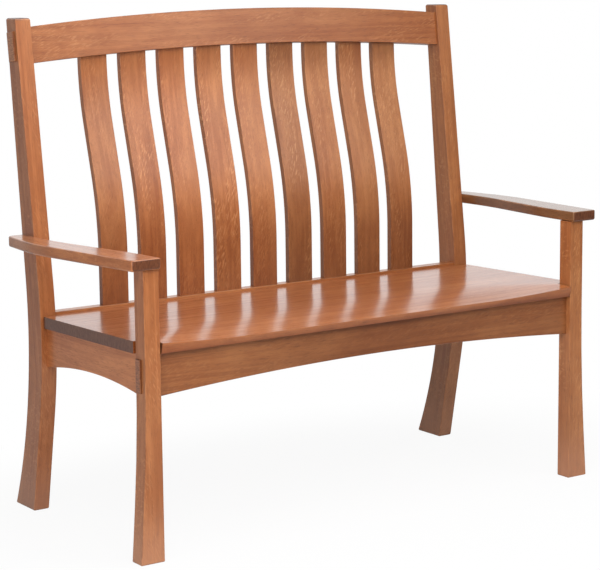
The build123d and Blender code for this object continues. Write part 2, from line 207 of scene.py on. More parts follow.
def arch(start: Point, crown: Point, end: Point, steps: int = ARCH_STEPS) -> list[Point]:
    """Draw the circular arc through three points.

    Args:
        start: First point of the arc.
        crown: A point that it passes.
        end: Last point of the arc.
        steps: Into how many chords the arc is divided.

    Returns:
        The points of the arc, both ends among them.
    """
    (ax, ay), (bx, by), (cx, cy) = start, crown, end
    scale = 2 * (ax * (by - cy) + bx * (cy - ay) + cx * (ay - by))
    squares = [x * x + y * y for x, y in (start, crown, end)]
    centre = (
        (squares[0] * (by - cy) + squares[1] * (cy - ay) + squares[2] * (ay - by)) / scale,
        (squares[0] * (cx - bx) + squares[1] * (ax - cx) + squares[2] * (bx - ax)) / scale,
    )
    radius = math.dist(centre, start)
    first = math.atan2(ay - centre[1], ax - centre[0])
    turn = math.remainder(math.atan2(cy - centre[1], cx - centre[0]) - first, math.tau)
    angles = [first + turn * step / steps for step in range(steps + 1)]
    return [(centre[0] + radius * math.cos(a), centre[1] + radius * math.sin(a)) for a in angles]


def curve(knots: Sequence[Point], place: float) -> float:
    """Read a smooth curve that passes through knots.

    Args:
        knots: The curve's knots, in rising order.
        place: Where the curve is read.

    Returns:
        Its height there.
    """
    last = len(knots) - 2
    index = max((number for number in range(last + 1) if knots[number][0] <= place), default=0)
    (start, low), (end, high) = knots[index], knots[index + 1]
    slopes = []
    for middle in (index, index + 1):
        before, after = knots[max(0, middle - 1)], knots[min(last + 1, middle + 1)]
        slopes.append((after[1] - before[1]) / (after[0] - before[0]))
    run = end - start
    share = clamped((place - start) / run)
    bend = share * (1 - share) * run * ((1 - share) * slopes[0] - share * slopes[1])
    step = share * share * (3 - 2 * share)
    return low + (high - low) * step + bend


def stepped(stops: Sequence[float], step: float) -> list[float]:
    """Divide the runs between stops into equal parts no longer than a step.

    Args:
        stops: Places that are kept, in rising order.
        step: The longest part allowed.

    Returns:
        The places that divide the runs, all stops among them.
    """
    places: list[float] = []
    for start, end in zip(stops, stops[1:]):
        parts = max(1, math.ceil((end - start) / step))
        places += [start + (end - start) * part / parts for part in range(parts)]
    return [*places, stops[-1]]


def fresh_solid() -> Solid:
    """Start an empty solid, with a layer that marks its eased edges.

    Returns:
        The solid.
    """
    solid = bmesh.new()
    solid.faces.layers.float.new("arris")
    return solid


def prism(view: View, outline: Sequence[Point], start: float, end: float) -> Solid:
    """Extrude an outline into a closed solid.

    Args:
        view: The plane that the outline is drawn in.
        outline: The points of the outline.
        start: Where the extrusion starts.
        end: Where it ends.

    Returns:
        The solid.
    """
    solid = fresh_solid()
    rings = [[solid.verts.new(view.place(*point, along)) for point in outline] for along in (start, end)]
    for index, _ in enumerate(outline):
        after = (index + 1) % len(outline)
        solid.faces.new((rings[0][index], rings[0][after], rings[1][after], rings[1][index]))
    solid.faces.new(reversed(rings[0]))
    solid.faces.new(rings[1])
    bmesh.ops.recalc_face_normals(solid, faces=solid.faces)
    return solid


def box(low: Sequence[float], high: Sequence[float]) -> Solid:
    """Make a rectangular solid between its lowest and its highest corner."""
    plan = [(low[0], low[1]), (high[0], low[1]), (high[0], high[1]), (low[0], high[1])]
    return prism(View.PLAN, plan, low[2], high[2])


def everywhere(_: Vector) -> bool:
    """Accept every edge."""
    return True


def ease(solid: Solid, width: float, where: Test = everywhere, segments: int = 2) -> None:
    """Round the sharp edges of a solid and mark the strips that this makes.

    Args:
        solid: The solid to work on.
        width: How far the rounding reaches from the edge.
        where: Tells from an edge's middle whether it is rounded.
        segments: Into how many strips the rounding is divided.
    """
    edges = [
        edge for edge in solid.edges
        if len(edge.link_faces) == 2 and edge.calc_face_angle() > EDGE_ANGLE
        and where((edge.verts[0].co + edge.verts[1].co) / 2)
    ]
    eased = bmesh.ops.bevel(
        solid, geom=edges, offset=width, offset_type="OFFSET", segments=segments,
        profile=0.5, affect="EDGES", clamp_overlap=True,
    )
    arris = solid.faces.layers.float["arris"]
    for face in eased["faces"]:
        face[arris] = 1.0


def lay_top(solid: Solid, level: float, slope: Line) -> None:
    """Lay the level top of a solid along a slope.

    Args:
        solid: The solid to work on.
        level: The height of its top.
        slope: The new height at each place from front to back.
    """
    for corner in solid.verts:
        if corner.co.z > level - TOUCH:
            corner.co.z = slope(corner.co.y)


def mirrored(solid: Solid) -> Solid:
    """Mirror a solid to the other side of the settle.

    Args:
        solid: The solid to mirror.

    Returns:
        The same solid.
    """
    bmesh.ops.scale(solid, vec=(-1, 1, 1), verts=solid.verts)
    bmesh.ops.reverse_faces(solid, faces=solid.faces)
    return solid


def scored(solid: Solid, reach: float, count: int) -> Solid:
    """Divide the faces of a long member along its length, so that how dark it is can change along it.

    Args:
        solid: The solid to divide.
        reach: How far from the settle's middle the outermost cuts are.
        count: How many cuts there are.

    Returns:
        The same solid.
    """
    for cut in range(count):
        place = (reach * (2 * cut / (count - 1) - 1), 0, 0)
        parts = [*solid.verts, *solid.edges, *solid.faces]
        bmesh.ops.bisect_plane(solid, geom=parts, plane_co=place, plane_no=(1, 0, 0))
    return solid


def merged(solids: Iterable[Solid]) -> Solid:
    """Put several solids into one.

    Args:
        solids: The solids, which are used up.

    Returns:
        One solid that holds them all.
    """
    whole = fresh_solid()
    for solid in solids:
        mesh = bpy.data.meshes.new("part")
        solid.to_mesh(mesh)
        solid.free()
        whole.from_mesh(mesh)
        bpy.data.meshes.remove(mesh)
    return whole


def placed(name: str, data: bpy.types.ID) -> bpy.types.Object:
    """Put a mesh, a light or a camera into the scene.

    Args:
        name: The object's name.
        data: What the object shows.

    Returns:
        The new object.
    """
    thing = bpy.data.objects.new(name, data)
    bpy.context.scene.collection.objects.link(thing)
    return thing


def as_object(solid: Solid, name: str) -> bpy.types.Object:
    """Put a solid into the scene.

    Args:
        solid: The solid, which is used up.
        name: The object's name.

    Returns:
        The new object.
    """
    mesh = bpy.data.meshes.new(name)
    solid.to_mesh(mesh)
    solid.free()
    return placed(name, mesh)


def carve(solid: Solid, tools: Iterable[Solid]) -> Solid:
    """Cut tools out of a solid.

    Args:
        solid: The solid to cut, which is used up.
        tools: What is cut out of it, used up as well.

    Returns:
        What is left of the solid.
    """
    blank = as_object(solid, "blank")
    tool = as_object(merged(tools), "tool")
    cut = blank.modifiers.new("cut", "BOOLEAN")
    cut.operation = "DIFFERENCE"
    cut.solver = "EXACT"
    cut.object = tool
    bpy.context.view_layer.update()
    left = bmesh.new()
    left.from_object(blank, bpy.context.evaluated_depsgraph_get())
    for piece in (blank, tool):
        mesh = piece.data
        bpy.data.objects.remove(piece)
        bpy.data.meshes.remove(mesh)
    return left


@dataclass(frozen=True)
class Character:
    """How one board differs from its neighbours.

    Attributes:
        light: 0 where it is as light as the finish, less where darker, more where paler.
        red: 0 where it is as red as the finish, less where yellower, more where redder.
        fleck: How much ray fleck its face shows, from 0 to 1.
    """

    light: float
    red: float
    fleck: float


class NodeKit:
    """Adds nodes to a node tree and links them."""

    def __init__(self, tree: bpy.types.NodeTree) -> None:
        """Start on a tree."""
        self.tree = tree

    @classmethod
    def of(cls, owner: bpy.types.Material | bpy.types.World) -> NodeKit:
        """Start on the emptied node tree of a material or a world.

        Args:
            owner: The material or the world.

        Returns:
            A kit for its nodes.
        """
        owner.use_nodes = True
        owner.node_tree.nodes.clear()
        return cls(owner.node_tree)

    def add(self, kind: str, feeds: Feeds | None = None, **settings: object) -> bpy.types.Node:
        """Add a node.

        Args:
            kind: The node's type name.
            feeds: What its inputs are given, by their names or numbers.
            **settings: Properties to set on it.

        Returns:
            The node.
        """
        node = self.tree.nodes.new(kind)
        for name, value in settings.items():
            setattr(node, name, value)
        return self.wire(node, feeds or {})

    def wire(self, node: bpy.types.Node, feeds: Feeds) -> bpy.types.Node:
        """Give inputs of a node links or fixed values.

        Args:
            node: The node.
            feeds: An output to link or a value to set, by the input's name or number.

        Returns:
            The same node.
        """
        for key, value in feeds.items():
            if isinstance(value, bpy.types.NodeSocket):
                self.tree.links.new(value, node.inputs[key])
            else:
                node.inputs[key].default_value = value
        return node

    def attribute(self, name: str, output: str) -> Socket:
        """Read a mesh attribute at one of its node's outputs."""
        return self.add("ShaderNodeAttribute", attribute_name=name).outputs[output]

    def place(self, output: str = "Object") -> Socket:
        """Read the place of a point, in the object's own frame unless another output is named."""
        return self.add("ShaderNodeTexCoord").outputs[output]

    def split(self, vector: Socket) -> Sockets:
        """Split a vector into its three numbers."""
        return self.add("ShaderNodeSeparateXYZ", {0: vector}).outputs

    def math(self, operation: str, *values: object) -> Socket:
        """Calculate with numbers or outputs, in the order in which the operation takes them."""
        return self.add("ShaderNodeMath", dict(enumerate(values)), operation=operation).outputs[0]

    def times(self, first: object, second: object) -> Socket:
        """Multiply two numbers or outputs."""
        return self.math("MULTIPLY", first, second)

    def scaled(self, vector: Socket, scale: Place) -> Socket:
        """Multiply a vector by one factor for each axis."""
        return self.add("ShaderNodeVectorMath", {0: vector, 1: scale}, operation="MULTIPLY").outputs[0]

    def noise(
        self, vector: Socket, waves: Place, detail: float, roughness: float = 0.5, distortion: float = 0.0
    ) -> Socket:
        """Add a noise.

        Args:
            vector: Where the noise is read.
            waves: Its waves per metre along each axis.
            detail: How many finer layers it has.
            roughness: How strong the finer layers are.
            distortion: How far it is drawn out of line.

        Returns:
            The noise, from 0 to 1.
        """
        feeds = {
            "Vector": self.scaled(vector, waves), "Scale": 1.0, "Detail": detail, "Roughness": roughness,
            "Distortion": distortion,
        }
        return self.add("ShaderNodeTexNoise", feeds, noise_dimensions="3D").outputs["Fac"]

    def fade(self, value: Socket, low: float, high: float, start: object = 0.0, end: object = 1.0) -> Socket:
        """Step softly from start to end while a value goes from low to high."""
        feeds = {"Value": value, "From Min": low, "From Max": high, "To Min": start, "To Max": end}
        return self.add("ShaderNodeMapRange", feeds, interpolation_type="SMOOTHSTEP", clamp=True).outputs[0]

    def between(self, factor: object, first: object, second: object) -> Socket:
        """Mix two numbers, and take as much of the second as the factor says."""
        return self.add("ShaderNodeMix", {0: factor, 2: first, 3: second}, data_type="FLOAT").outputs[0]

    def mix(self, factor: object, first: object, second: object, blend: str = "MIX") -> Socket:
        """Mix two colours in one of Blender's ways, and show as much of the second as the factor says."""
        feeds, settings = {0: factor, 6: first, 7: second}, {"data_type": "RGBA", "clamp_factor": True}
        return self.add("ShaderNodeMix", feeds, blend_type=blend, **settings).outputs[2]

    def glazed(self, colour: Socket, glaze: Colour, mask: Socket, share: float) -> Socket:
        """Lay a share of a second colour over a colour, where a mask lets it show."""
        return self.mix(self.times(mask, share), colour, linear(glaze))

    def bump(self, height: Socket, depth: float) -> Socket:
        """Turn a height from 0 to 1 into a relief of a depth."""
        return self.add("ShaderNodeBump", {"Distance": depth, "Height": height}).outputs["Normal"]


class Effect:
    """A shader node group that several finishes share and that reads places in the grain.

    Attributes:
        name: The group's name.
        numbers: Its number inputs, with the value that each has if it is given none.
    """

    name = "effect"
    numbers: Mapping[str, float] = {}

    def group(self) -> bpy.types.NodeTree:
        """Find the group, or build it at its first use.

        Returns:
            The node group.
        """
        known = bpy.data.node_groups.get(self.name)
        if known:
            return known
        tree = bpy.data.node_groups.new(self.name, "ShaderNodeTree")
        tree.interface.new_socket("Grain", in_out="INPUT", socket_type="NodeSocketVector")
        for name, value in self.numbers.items():
            socket = tree.interface.new_socket(name, in_out="INPUT", socket_type="NodeSocketFloat")
            socket.default_value = value
        kit = NodeKit(tree)
        masks = self.masks(kit, kit.add("NodeGroupInput").outputs)
        for name in masks:
            tree.interface.new_socket(name, in_out="OUTPUT", socket_type="NodeSocketFloat")
        kit.add("NodeGroupOutput", masks)
        return tree

    def masks(self, kit: NodeKit, given: Sockets) -> dict[str, Socket]:
        """Build what the group puts out, by the names of its outputs."""
        raise NotImplementedError

    def within(self, kit: NodeKit, feeds: Feeds) -> Sockets:
        """Put the group into a material, and return its outputs."""
        return kit.add("ShaderNodeGroup", feeds, node_tree=self.group()).outputs


class OakFigure(Effect):
    """Growth lines, pores, ray fleck and slow changes of tone along a board."""

    name = "oak figure"
    numbers = {"Fleck": 0.5}
    wander = (0.0, 0.02, 0.02)
    fleck_slant = math.radians(-20)

    def masks(self, kit: NodeKit, given: Sockets) -> dict[str, Socket]:
        """Build the masks of the figure.

        Args:
            kit: Adds nodes to the group.
            given: The group's inputs.

        Returns:
            The five masks by name.
        """
        grain = given["Grain"]
        drift = {0: kit.noise(grain, (1.6, 7.0, 7.0), detail=1.0), 1: self.wander, 2: grain}
        course = kit.add("ShaderNodeVectorMath", drift, operation="MULTIPLY_ADD").outputs[0]
        lines = kit.noise(course, (1.4, 95.0, 95.0), detail=4.0, roughness=0.65)
        pores = kit.noise(course, (42.0, 1500.0, 1500.0), detail=1.0)
        slant = {"Vector": grain, "Angle": self.fleck_slant}
        turned = kit.add("ShaderNodeVectorRotate", slant, rotation_type="Z_AXIS").outputs[0]
        flakes = kit.noise(turned, (60.0, 330.0, 90.0), detail=1.5, roughness=0.55, distortion=0.4)
        zones = kit.noise(grain, (5.0, 26.0, 12.0), detail=2.0)
        flecks = kit.times(kit.fade(flakes, 0.52, 0.66), kit.fade(zones, 0.42, 0.6))
        return {
            "Lines": kit.fade(lines, 0.36, 0.64),
            "Pores": kit.fade(pores, 0.58, 0.72),
            "Flecks": kit.times(flecks, given["Fleck"]),
            "Clouds": kit.fade(kit.noise(grain, (2.4, 8.0, 8.0), detail=2.0), 0.3, 0.7),
            "Blotches": kit.fade(kit.noise(grain, (16.0, 42.0, 42.0), detail=2.0), 0.3, 0.7),
        }


class RubbedArris(Effect):
    """Where the stained finish is rubbed thin along an eased edge."""

    name = "rubbed arris"
    numbers = {"Arris": 0.0, "Amount": 0.5}

    def masks(self, kit: NodeKit, given: Sockets) -> dict[str, Socket]:
        """Build the masks of the rubbed and of the dark stretches.

        Args:
            kit: Adds nodes to the group.
            given: The group's inputs.

        Returns:
            The two masks by name.
        """
        stretches = kit.noise(given["Grain"], (18.0, 30.0, 30.0), detail=3.0, roughness=0.6)
        masks = {}
        for name, low, high in (("Rubbed", 0.46, 0.62), ("Dark", 0.54, 0.4)):
            along_edge = kit.times(given["Arris"], kit.fade(stretches, low, high))
            masks[name] = kit.times(along_edge, given["Amount"])
        return masks


class Finish:
    """A finish, with one material for the whole surface unless it gives more."""

    name = "finish"
    slot = "slot"

    def face(self) -> bpy.types.Material:
        """The material of faces along the grain."""
        raise NotImplementedError

    def materials(self) -> tuple[bpy.types.Material, ...]:
        """The finish's materials, the one of faces along the grain first."""
        return (self.face(),)

    def started(self, name: str) -> tuple[bpy.types.Material, NodeKit, bpy.types.Node]:
        """Start a material with a surface shader.

        Args:
            name: The material's name.

        Returns:
            The material, a kit for its nodes and its shader.
        """
        material = bpy.data.materials.new(name)
        kit = NodeKit.of(material)
        shader = kit.add("ShaderNodeBsdfPrincipled")
        kit.add("ShaderNodeOutputMaterial", {"Surface": shader.outputs["BSDF"]})
        return material, kit, shader


@dataclass(frozen=True)
class StainedOak(Finish):
    """Quarter-sawn oak, stained and lacquered.

    Attributes:
        name: What the finish is called.
        pale: Colour of the early wood and the ray fleck.
        middle: Colour of most of the board.
        deep: Colour of the late wood lines.
        pore: Colour in the pores and along dark edges.
        end_pale: Colour of most of the end grain.
        end_deep: Colour of the rings in it.
        painted_floor_sheen: Colour of painted sheen near the floor, standing in for the white floor reflected
            in the feet.
        painted_floor_sheen_height: How high up that reaches.
        edge_wear: How strongly eased edges are rubbed.
        gloss: Roughness of the lacquer.
        coat: How much of the lacquer shows.
        coat_ior: How strongly the lacquer bends light.
        sheen: How much the wood below it shines.
        open_grain: Height of the relief that the pores leave.
    """

    name: str = "stained_oak"
    pale: Colour = (202, 138, 88)
    middle: Colour = (178, 109, 62)
    deep: Colour = (150, 84, 44)
    pore: Colour = (98, 54, 30)
    end_pale: Colour = (114, 68, 44)
    end_deep: Colour = (88, 50, 32)
    # Painted sheen: near the floor the colour is mixed towards a pale tone, for the reflected white floor.
    painted_floor_sheen: Colour = (198, 142, 110)
    painted_floor_sheen_height: float = 0.16
    edge_wear: float = 0.8
    gloss: float = 0.27
    coat: float = 0.75
    coat_ior: float = 1.5
    sheen: float = 0.2
    open_grain: float = 0.00012
    slot = "stained_oak"

    def materials(self) -> tuple[bpy.types.Material, ...]:
        """The material of faces along the grain and the one of end grain."""
        return (self.face(), self.end())

    def face(self) -> bpy.types.Material:
        """Build the material of faces along the grain.

        Returns:
            The material.
        """
        material, kit, shader = self.started(self.name)
        grain, arris = kit.attribute("grain", "Vector"), kit.attribute("arris", "Fac")
        light, red, fleck = kit.split(kit.attribute("board", "Vector"))
        figure = OakFigure().within(kit, {"Grain": grain, "Fleck": fleck})
        edge = RubbedArris().within(kit, {"Grain": grain, "Arris": arris, "Amount": self.edge_wear})
        late_wood = kit.fade(figure["Lines"], 0.0, 1.0, 0.75, 0.0)
        colour = kit.mix(late_wood, linear(self.middle), linear(self.deep))
        for mask, glaze, share in (
            ("Clouds", self.pale, 0.45), ("Blotches", self.deep, 0.35),
            ("Flecks", self.pale, 0.8), ("Pores", self.pore, 0.6),
        ):
            colour = kit.glazed(colour, glaze, figure[mask], share)
        colour = self.toned(kit, colour, light, red)
        # Painted sheen: paler towards the floor, where the white floor would be reflected.
        painted_floor_sheen = kit.fade(kit.split(kit.place())["Z"], 0.0, self.painted_floor_sheen_height, 0.45, 0.0)
        colour = kit.mix(painted_floor_sheen, colour, linear(self.painted_floor_sheen))
        colour = kit.glazed(colour, self.pale, edge["Rubbed"], 0.35)
        colour = kit.glazed(colour, self.pore, edge["Dark"], 0.45)
        rough = kit.fade(figure["Lines"], 0.0, 1.0, 0.38, 0.32)
        relief = kit.math("SUBTRACT", kit.times(figure["Lines"], 0.25), figure["Pores"])
        kit.wire(shader, {
            "Base Color": colour, "Roughness": kit.math("ADD", rough, kit.times(figure["Pores"], 0.2)),
            "Normal": kit.bump(relief, self.open_grain), **self.lacquer(),
        })
        return material

    def toned(self, kit: NodeKit, colour: Socket, light: Socket, red: Socket) -> Socket:
        """Shift a colour by the board's own tone and by the painted shade laid on it.

        Args:
            kit: Adds nodes to the material.
            colour: The colour to shift.
            light: The board's lightness with its painted shade, 0 where it is that of the finish.
            red: The board's redness, 0 where it is that of the finish.

        Returns:
            The shifted colour.
        """
        base = kit.math("MULTIPLY_ADD", light, 0.3, 1.0)
        tints = [kit.math("ADD", base, kit.times(red, share)) for share in (0.05, -0.05, -0.12)]
        gain = kit.add("ShaderNodeCombineColor", dict(enumerate(tints)))
        return kit.mix(1.0, colour, gain.outputs[0], "MULTIPLY")

    def lacquer(self) -> Feeds:
        """The shader's settings for the lacquer over the stained wood."""
        coat = {"Coat Weight": self.coat, "Coat Roughness": self.gloss, "Coat IOR": self.coat_ior}
        return {**coat, "Specular IOR Level": self.sheen}

    def end(self) -> bpy.types.Material:
        """Build the material of end grain.

        Returns:
            The material.
        """
        material, kit, shader = self.started(f"{self.name}_end_grain")
        grain = kit.attribute("grain", "Vector")
        rings = kit.noise(grain, (40.0, 420.0, 90.0), detail=2.0, roughness=0.6, distortion=0.6)
        pores = kit.noise(grain, (200.0, 1500.0, 1500.0), detail=1.0)
        colour = kit.mix(kit.fade(rings, 0.35, 0.65), linear(self.end_deep), linear(self.end_pale))
        colour = kit.mix(kit.fade(pores, 0.55, 0.75, 0.0, 0.5), colour, linear(self.end_deep))
        kit.wire(shader, {
            "Base Color": colour, "Roughness": kit.fade(rings, 0.2, 0.8, 0.5, 0.42),
            "Normal": kit.bump(pores, self.open_grain), **self.lacquer(),
        })
        return material


@dataclass(frozen=True)
class HiddenWood(Finish):
    """Wood of the parts under the seat and inside the joints, without lacquer.

    Attributes:
        name: What the finish is called.
        middle: Colour of most of the wood.
        deep: Colour of its lines and rays.
        slot: The record's material slot that it belongs to; not used.
        fleck: How much ray fleck it shows.
        open_grain: Height of the relief that its lines leave.
    """

    name: str = "beech"
    middle: Colour = (196, 152, 112)
    deep: Colour = (160, 110, 74)
    slot: str = "beech"
    fleck: float = 0.6
    open_grain: float = 0.0001

    def face(self) -> bpy.types.Material:
        """Build the material.

        Returns:
            The material.
        """
        material, kit, shader = self.started(self.name)
        figure = OakFigure().within(kit, {"Grain": kit.place(), "Fleck": self.fleck})
        colour = kit.mix(figure["Lines"], linear(self.deep), linear(self.middle))
        colour = kit.glazed(colour, self.deep, figure["Flecks"], 0.5)
        colour = kit.glazed(colour, self.deep, figure["Blotches"], 0.3)
        kit.wire(shader, {
            "Base Color": colour, "Roughness": kit.fade(figure["Lines"], 0.0, 1.0, 0.62, 0.5),
            "Normal": kit.bump(figure["Lines"], self.open_grain),
        })
        return material


@dataclass(frozen=True)
class ZincedSteel(Finish):
    """Zinc plate on the screws.

    Attributes:
        name: What the finish is called.
        bright: Colour of the plate.
        dull: Colour where it has dulled.
        spangle: Height of the relief of its crystals.
    """

    name: str = "zinced_steel"
    bright: Colour = (186, 188, 190)
    dull: Colour = (136, 138, 140)
    spangle: float = 0.00004
    slot = "zinc_steel"

    def face(self) -> bpy.types.Material:
        """Build the material.

        Returns:
            The material.
        """
        material, kit, shader = self.started(self.name)
        crystals = kit.noise(kit.place(), (900.0, 900.0, 900.0), detail=2.0, roughness=0.6)
        colour = kit.mix(kit.fade(crystals, 0.35, 0.65), linear(self.dull), linear(self.bright))
        kit.wire(shader, {
            "Base Color": colour, "Metallic": 1.0, "Roughness": kit.fade(crystals, 0.3, 0.7, 0.42, 0.28),
            "Normal": kit.bump(crystals, self.spangle),
        })
        return material


class Workshop:
    """Turns raw solids into finished members that ride the settle's body."""

    def __init__(self) -> None:
        """Open the workshop with no material mixed and no member made."""
        self.materials: dict[str, tuple[bpy.types.Material, ...]] = {}
        self.made = 0

    def mixed(self, finish: Finish) -> tuple[bpy.types.Material, ...]:
        """Find a finish's materials, or build them at their first use.

        Args:
            finish: The finish.

        Returns:
            Its materials, the one of faces along the grain first.
        """
        if finish.name not in self.materials:
            self.materials[finish.name] = finish.materials()
        return self.materials[finish.name]

    def complete(
        self, solid: Solid, node: str, finish: Finish, grain: Grain, character: Character,
        side: Side = Side.RIGHT, centre: Line | None = None, shade: Shade | None = None,
    ) -> None:
        """Finish a member and let it stand for its CAD node.

        Args:
            solid: The member's solid, which is used up.
            node: The CAD node that it stands for.
            finish: Its finish.
            grain: How the board lies.
            character: How it differs from its neighbours.
            side: The side of the settle that it is on.
            centre: Place of a curved member's middle, front to back, at each height.
            shade: How much darker the member is at each of its corners; on most members this is painted
                shade.
        """
        self.made += 1
        lengths = self.lay_grain(solid, grain, centre)
        if side is Side.LEFT:
            mirrored(solid)
        bmesh.ops.translate(solid, vec=(0, FRONT, 0), verts=solid.verts)
        solid.normal_update()
        for face in solid.faces:
            face.smooth = True
            face.material_index = int(abs(face.normal[grain.value[0]]) > END_GRAIN)
        # Painted shade from shade darkens each corner and makes it redder, through the board attribute.
        painted_shades = [shade(corner.co) if shade else 0.0 for corner in solid.verts]
        traits = [(character.light - dark, character.red + dark / 2, character.fleck) for dark in painted_shades]
        piece = as_object(solid, f"{node}_{finish.name}")
        mesh = piece.data
        for name, values in (("grain", lengths), ("board", traits)):
            attribute = mesh.attributes.new(name, "FLOAT_VECTOR", "POINT")
            attribute.data.foreach_set("vector", [number for value in values for number in value])
        for material in self.mixed(finish):
            mesh.materials.append(material)
        mesh.set_sharp_from_angle(angle=SHARP_ANGLE)
        self.even_normals(piece)
        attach(piece, BODY)
        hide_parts(node)
        log.info("%s: %d faces", piece.name, len(piece.data.polygons))

    def complete_pair(
        self, make: Callable[[], Solid], member: str, finish: Finish, grain: Grain,
        characters: Sequence[Character], centre: Line | None = None,
    ) -> None:
        """Finish the left and the right one of a pair of members.

        Args:
            make: Makes the solid of the right-hand one.
            member: The CAD nodes' name without the side.
            finish: Their finish.
            grain: How their boards lie.
            characters: How the left and the right one differ from their neighbours.
            centre: Place of a curved member's middle, front to back, at each height.
        """
        for side, character in zip(Side, characters):
            self.complete(make(), f"{member}_{side.word}", finish, grain, character, side, centre)

    def lay_grain(self, solid: Solid, grain: Grain, centre: Line | None) -> list[tuple[float, ...]]:
        """Measure every corner along, across and into its board.

        Args:
            solid: The member's solid.
            grain: How the board lies.
            centre: Place of a curved member's middle, front to back, at each height.

        Returns:
            For each corner its place in the board, shifted to a stretch of oak that no other has.
        """
        shift = [step * self.made for step in BOARD_SHIFT]
        places = []
        for corner in solid.verts:
            point = corner.co.copy()
            if centre:
                point.y -= centre(point.z)
            places.append(tuple(point[axis] + offset for axis, offset in zip(grain.value, shift)))
        return places

    def even_normals(self, piece: bpy.types.Object) -> None:
        """Let the large faces of a member shade flat and its eased edges shade round.

        Args:
            piece: The member.
        """
        weighted = piece.modifiers.new("shading", "WEIGHTED_NORMAL")
        weighted.mode = "FACE_AREA"
        weighted.weight = FACE_WEIGHT
        weighted.keep_sharp = True
        bpy.context.view_layer.update()
        graph = bpy.context.evaluated_depsgraph_get()
        shaded = bpy.data.meshes.new_from_object(
            piece.evaluated_get(graph), preserve_all_data_layers=True, depsgraph=graph,
        )
        plain = piece.data
        piece.modifiers.clear()
        piece.data = shaded
        shaded.name = piece.name
        bpy.data.meshes.remove(plain)

    def dress(self, nodes: dict[str, bpy.types.Object], names: Iterable[str], finish: Finish) -> None:
        """Give CAD nodes that stay a better material.

        Args:
            nodes: All CAD nodes by name.
            names: The nodes to dress.
            finish: Their finish.
        """
        for name in names:
            materials = nodes[name].data.materials
            materials.clear()
            materials.append(self.mixed(finish)[0])
            log.info("%s: kept in %s", name, finish.name)


@dataclass(frozen=True)
class Layout:
    """Places that several sub-assemblies share.

    Attributes:
        leg_outer: Outer face of a front leg, from the settle's middle.
        leg_inner: Inner face of a front leg.
        leg_depth: The leg's rear face.
        post_outer: Outer face of a back post.
        post_inner: Inner face of a back post.
        post_front: Front face of a back post at its bend.
        post_knee: Height of that bend.
        post_height: Height of the posts.
        post_lean: How far the front face runs back from its bend to the top.
        rail_front: Front face of the lower back rail.
        seat_height: Top of the seat at its front edge.
        seat_overhang: How far the seat stands ahead of the legs.
        seat_thickness: Thickness of the seat boards.
        seat_fall: How steeply the seat falls to the rear.
        arm_height: Top of an arm at its front end.
        arm_overhang: How far the arms stand ahead of the legs.
        arm_thickness: Thickness of an arm.
        arm_fall: How steeply an arm falls to the rear.
        arris: Width of the eased edges of most members.
    """

    leg_outer: float = 0.6135
    leg_inner: float = 0.5755
    leg_depth: float = 0.040
    post_outer: float = 0.6225
    post_inner: float = 0.5835
    post_front: float = 0.444
    post_knee: float = 0.394
    post_height: float = 1.145
    post_lean: float = 0.093
    rail_front: float = 0.462
    seat_height: float = 0.4815
    seat_overhang: float = 0.0064
    seat_thickness: float = 0.0268
    seat_fall: float = 0.0192
    arm_height: float = 0.6612
    arm_overhang: float = 0.010
    arm_thickness: float = 0.0245
    arm_fall: float = 0.012
    arris: float = 0.0012

    @property
    def rake(self) -> float:
        """Angle by which the posts lean back above their bend."""
        return math.atan2(self.post_lean, self.post_height - self.post_knee)

    def seat_top(self, y: float) -> float:
        """Height of the undished seat at a place from front to back."""
        return self.seat_height - (y + self.seat_overhang) * self.seat_fall

    def seat_under(self, y: float) -> float:
        """Height of the seat's underside at a place from front to back."""
        return self.seat_top(y) - self.seat_thickness

    def arm_top(self, y: float) -> float:
        """Height of an arm's top face at a place from front to back."""
        return self.arm_height - (y + self.arm_overhang) * self.arm_fall

    def arm_under(self, y: float) -> float:
        """Height of an arm's underside at a place from front to back."""
        return self.arm_top(y) - self.arm_thickness

    def post_front_at(self, height: float) -> float:
        """Place of the posts' front faces at a height above their bend."""
        return self.post_front + (height - self.post_knee) * math.tan(self.rake)


@dataclass(frozen=True)
class FrontLegs:
    """The two front legs, square above and swept outwards to the feet.

    Attributes:
        layout: The settle's shared places.
        flare: How far the foot stands outside the leg.
        knee: Height where the lines of leg and foot would meet.
        knee_share: Share of the foot's line that the curve between them takes.
        foot_ease: Rounding round the sole.
        characters: What the left and the right leg look like.
    """

    layout: Layout
    flare: float = 0.020
    knee: float = 0.270
    knee_share: float = 0.554
    foot_ease: float = 0.0022
    characters: tuple[Character, Character] = (Character(-0.1, 0.1, 0.6), Character(-0.05, -0.1, 1.0))

    def solid(self, mortise: Callable[[], Solid]) -> Solid:
        """Make the right-hand leg.

        Args:
            mortise: Makes the room for the front apron's tenon.

        Returns:
            The leg's solid.
        """
        plan = self.layout
        head = plan.arm_under(0)
        foot, knee = (plan.leg_outer + self.flare, 0.0), (plan.leg_outer, self.knee)
        radius = bend_radius([foot, knee, (plan.leg_outer, plan.arm_height)], 1, self.knee_share)
        corners = [(plan.leg_inner, 0.0), foot, knee, (plan.leg_outer, head), (plan.leg_inner, head)]
        leg = prism(View.FRONT, rounded(corners, [0, 0, radius, 0, 0]), 0.0, plan.leg_depth)
        ease(leg, self.foot_ease, lambda middle: middle.z < TOUCH)
        ease(leg, plan.arris, lambda middle: CLEAR < middle.z < head - CLEAR)
        lay_top(leg, head, plan.arm_under)
        return carve(leg, [mortise()])

    def build(self, shop: Workshop, finish: Finish, mortise: Callable[[], Solid]) -> None:
        """Build and dress both legs, each with the mortise for the front apron's tenon."""
        make = partial(self.solid, mortise)
        shop.complete_pair(make, "front_leg", finish, Grain.ALONG_Z, self.characters)


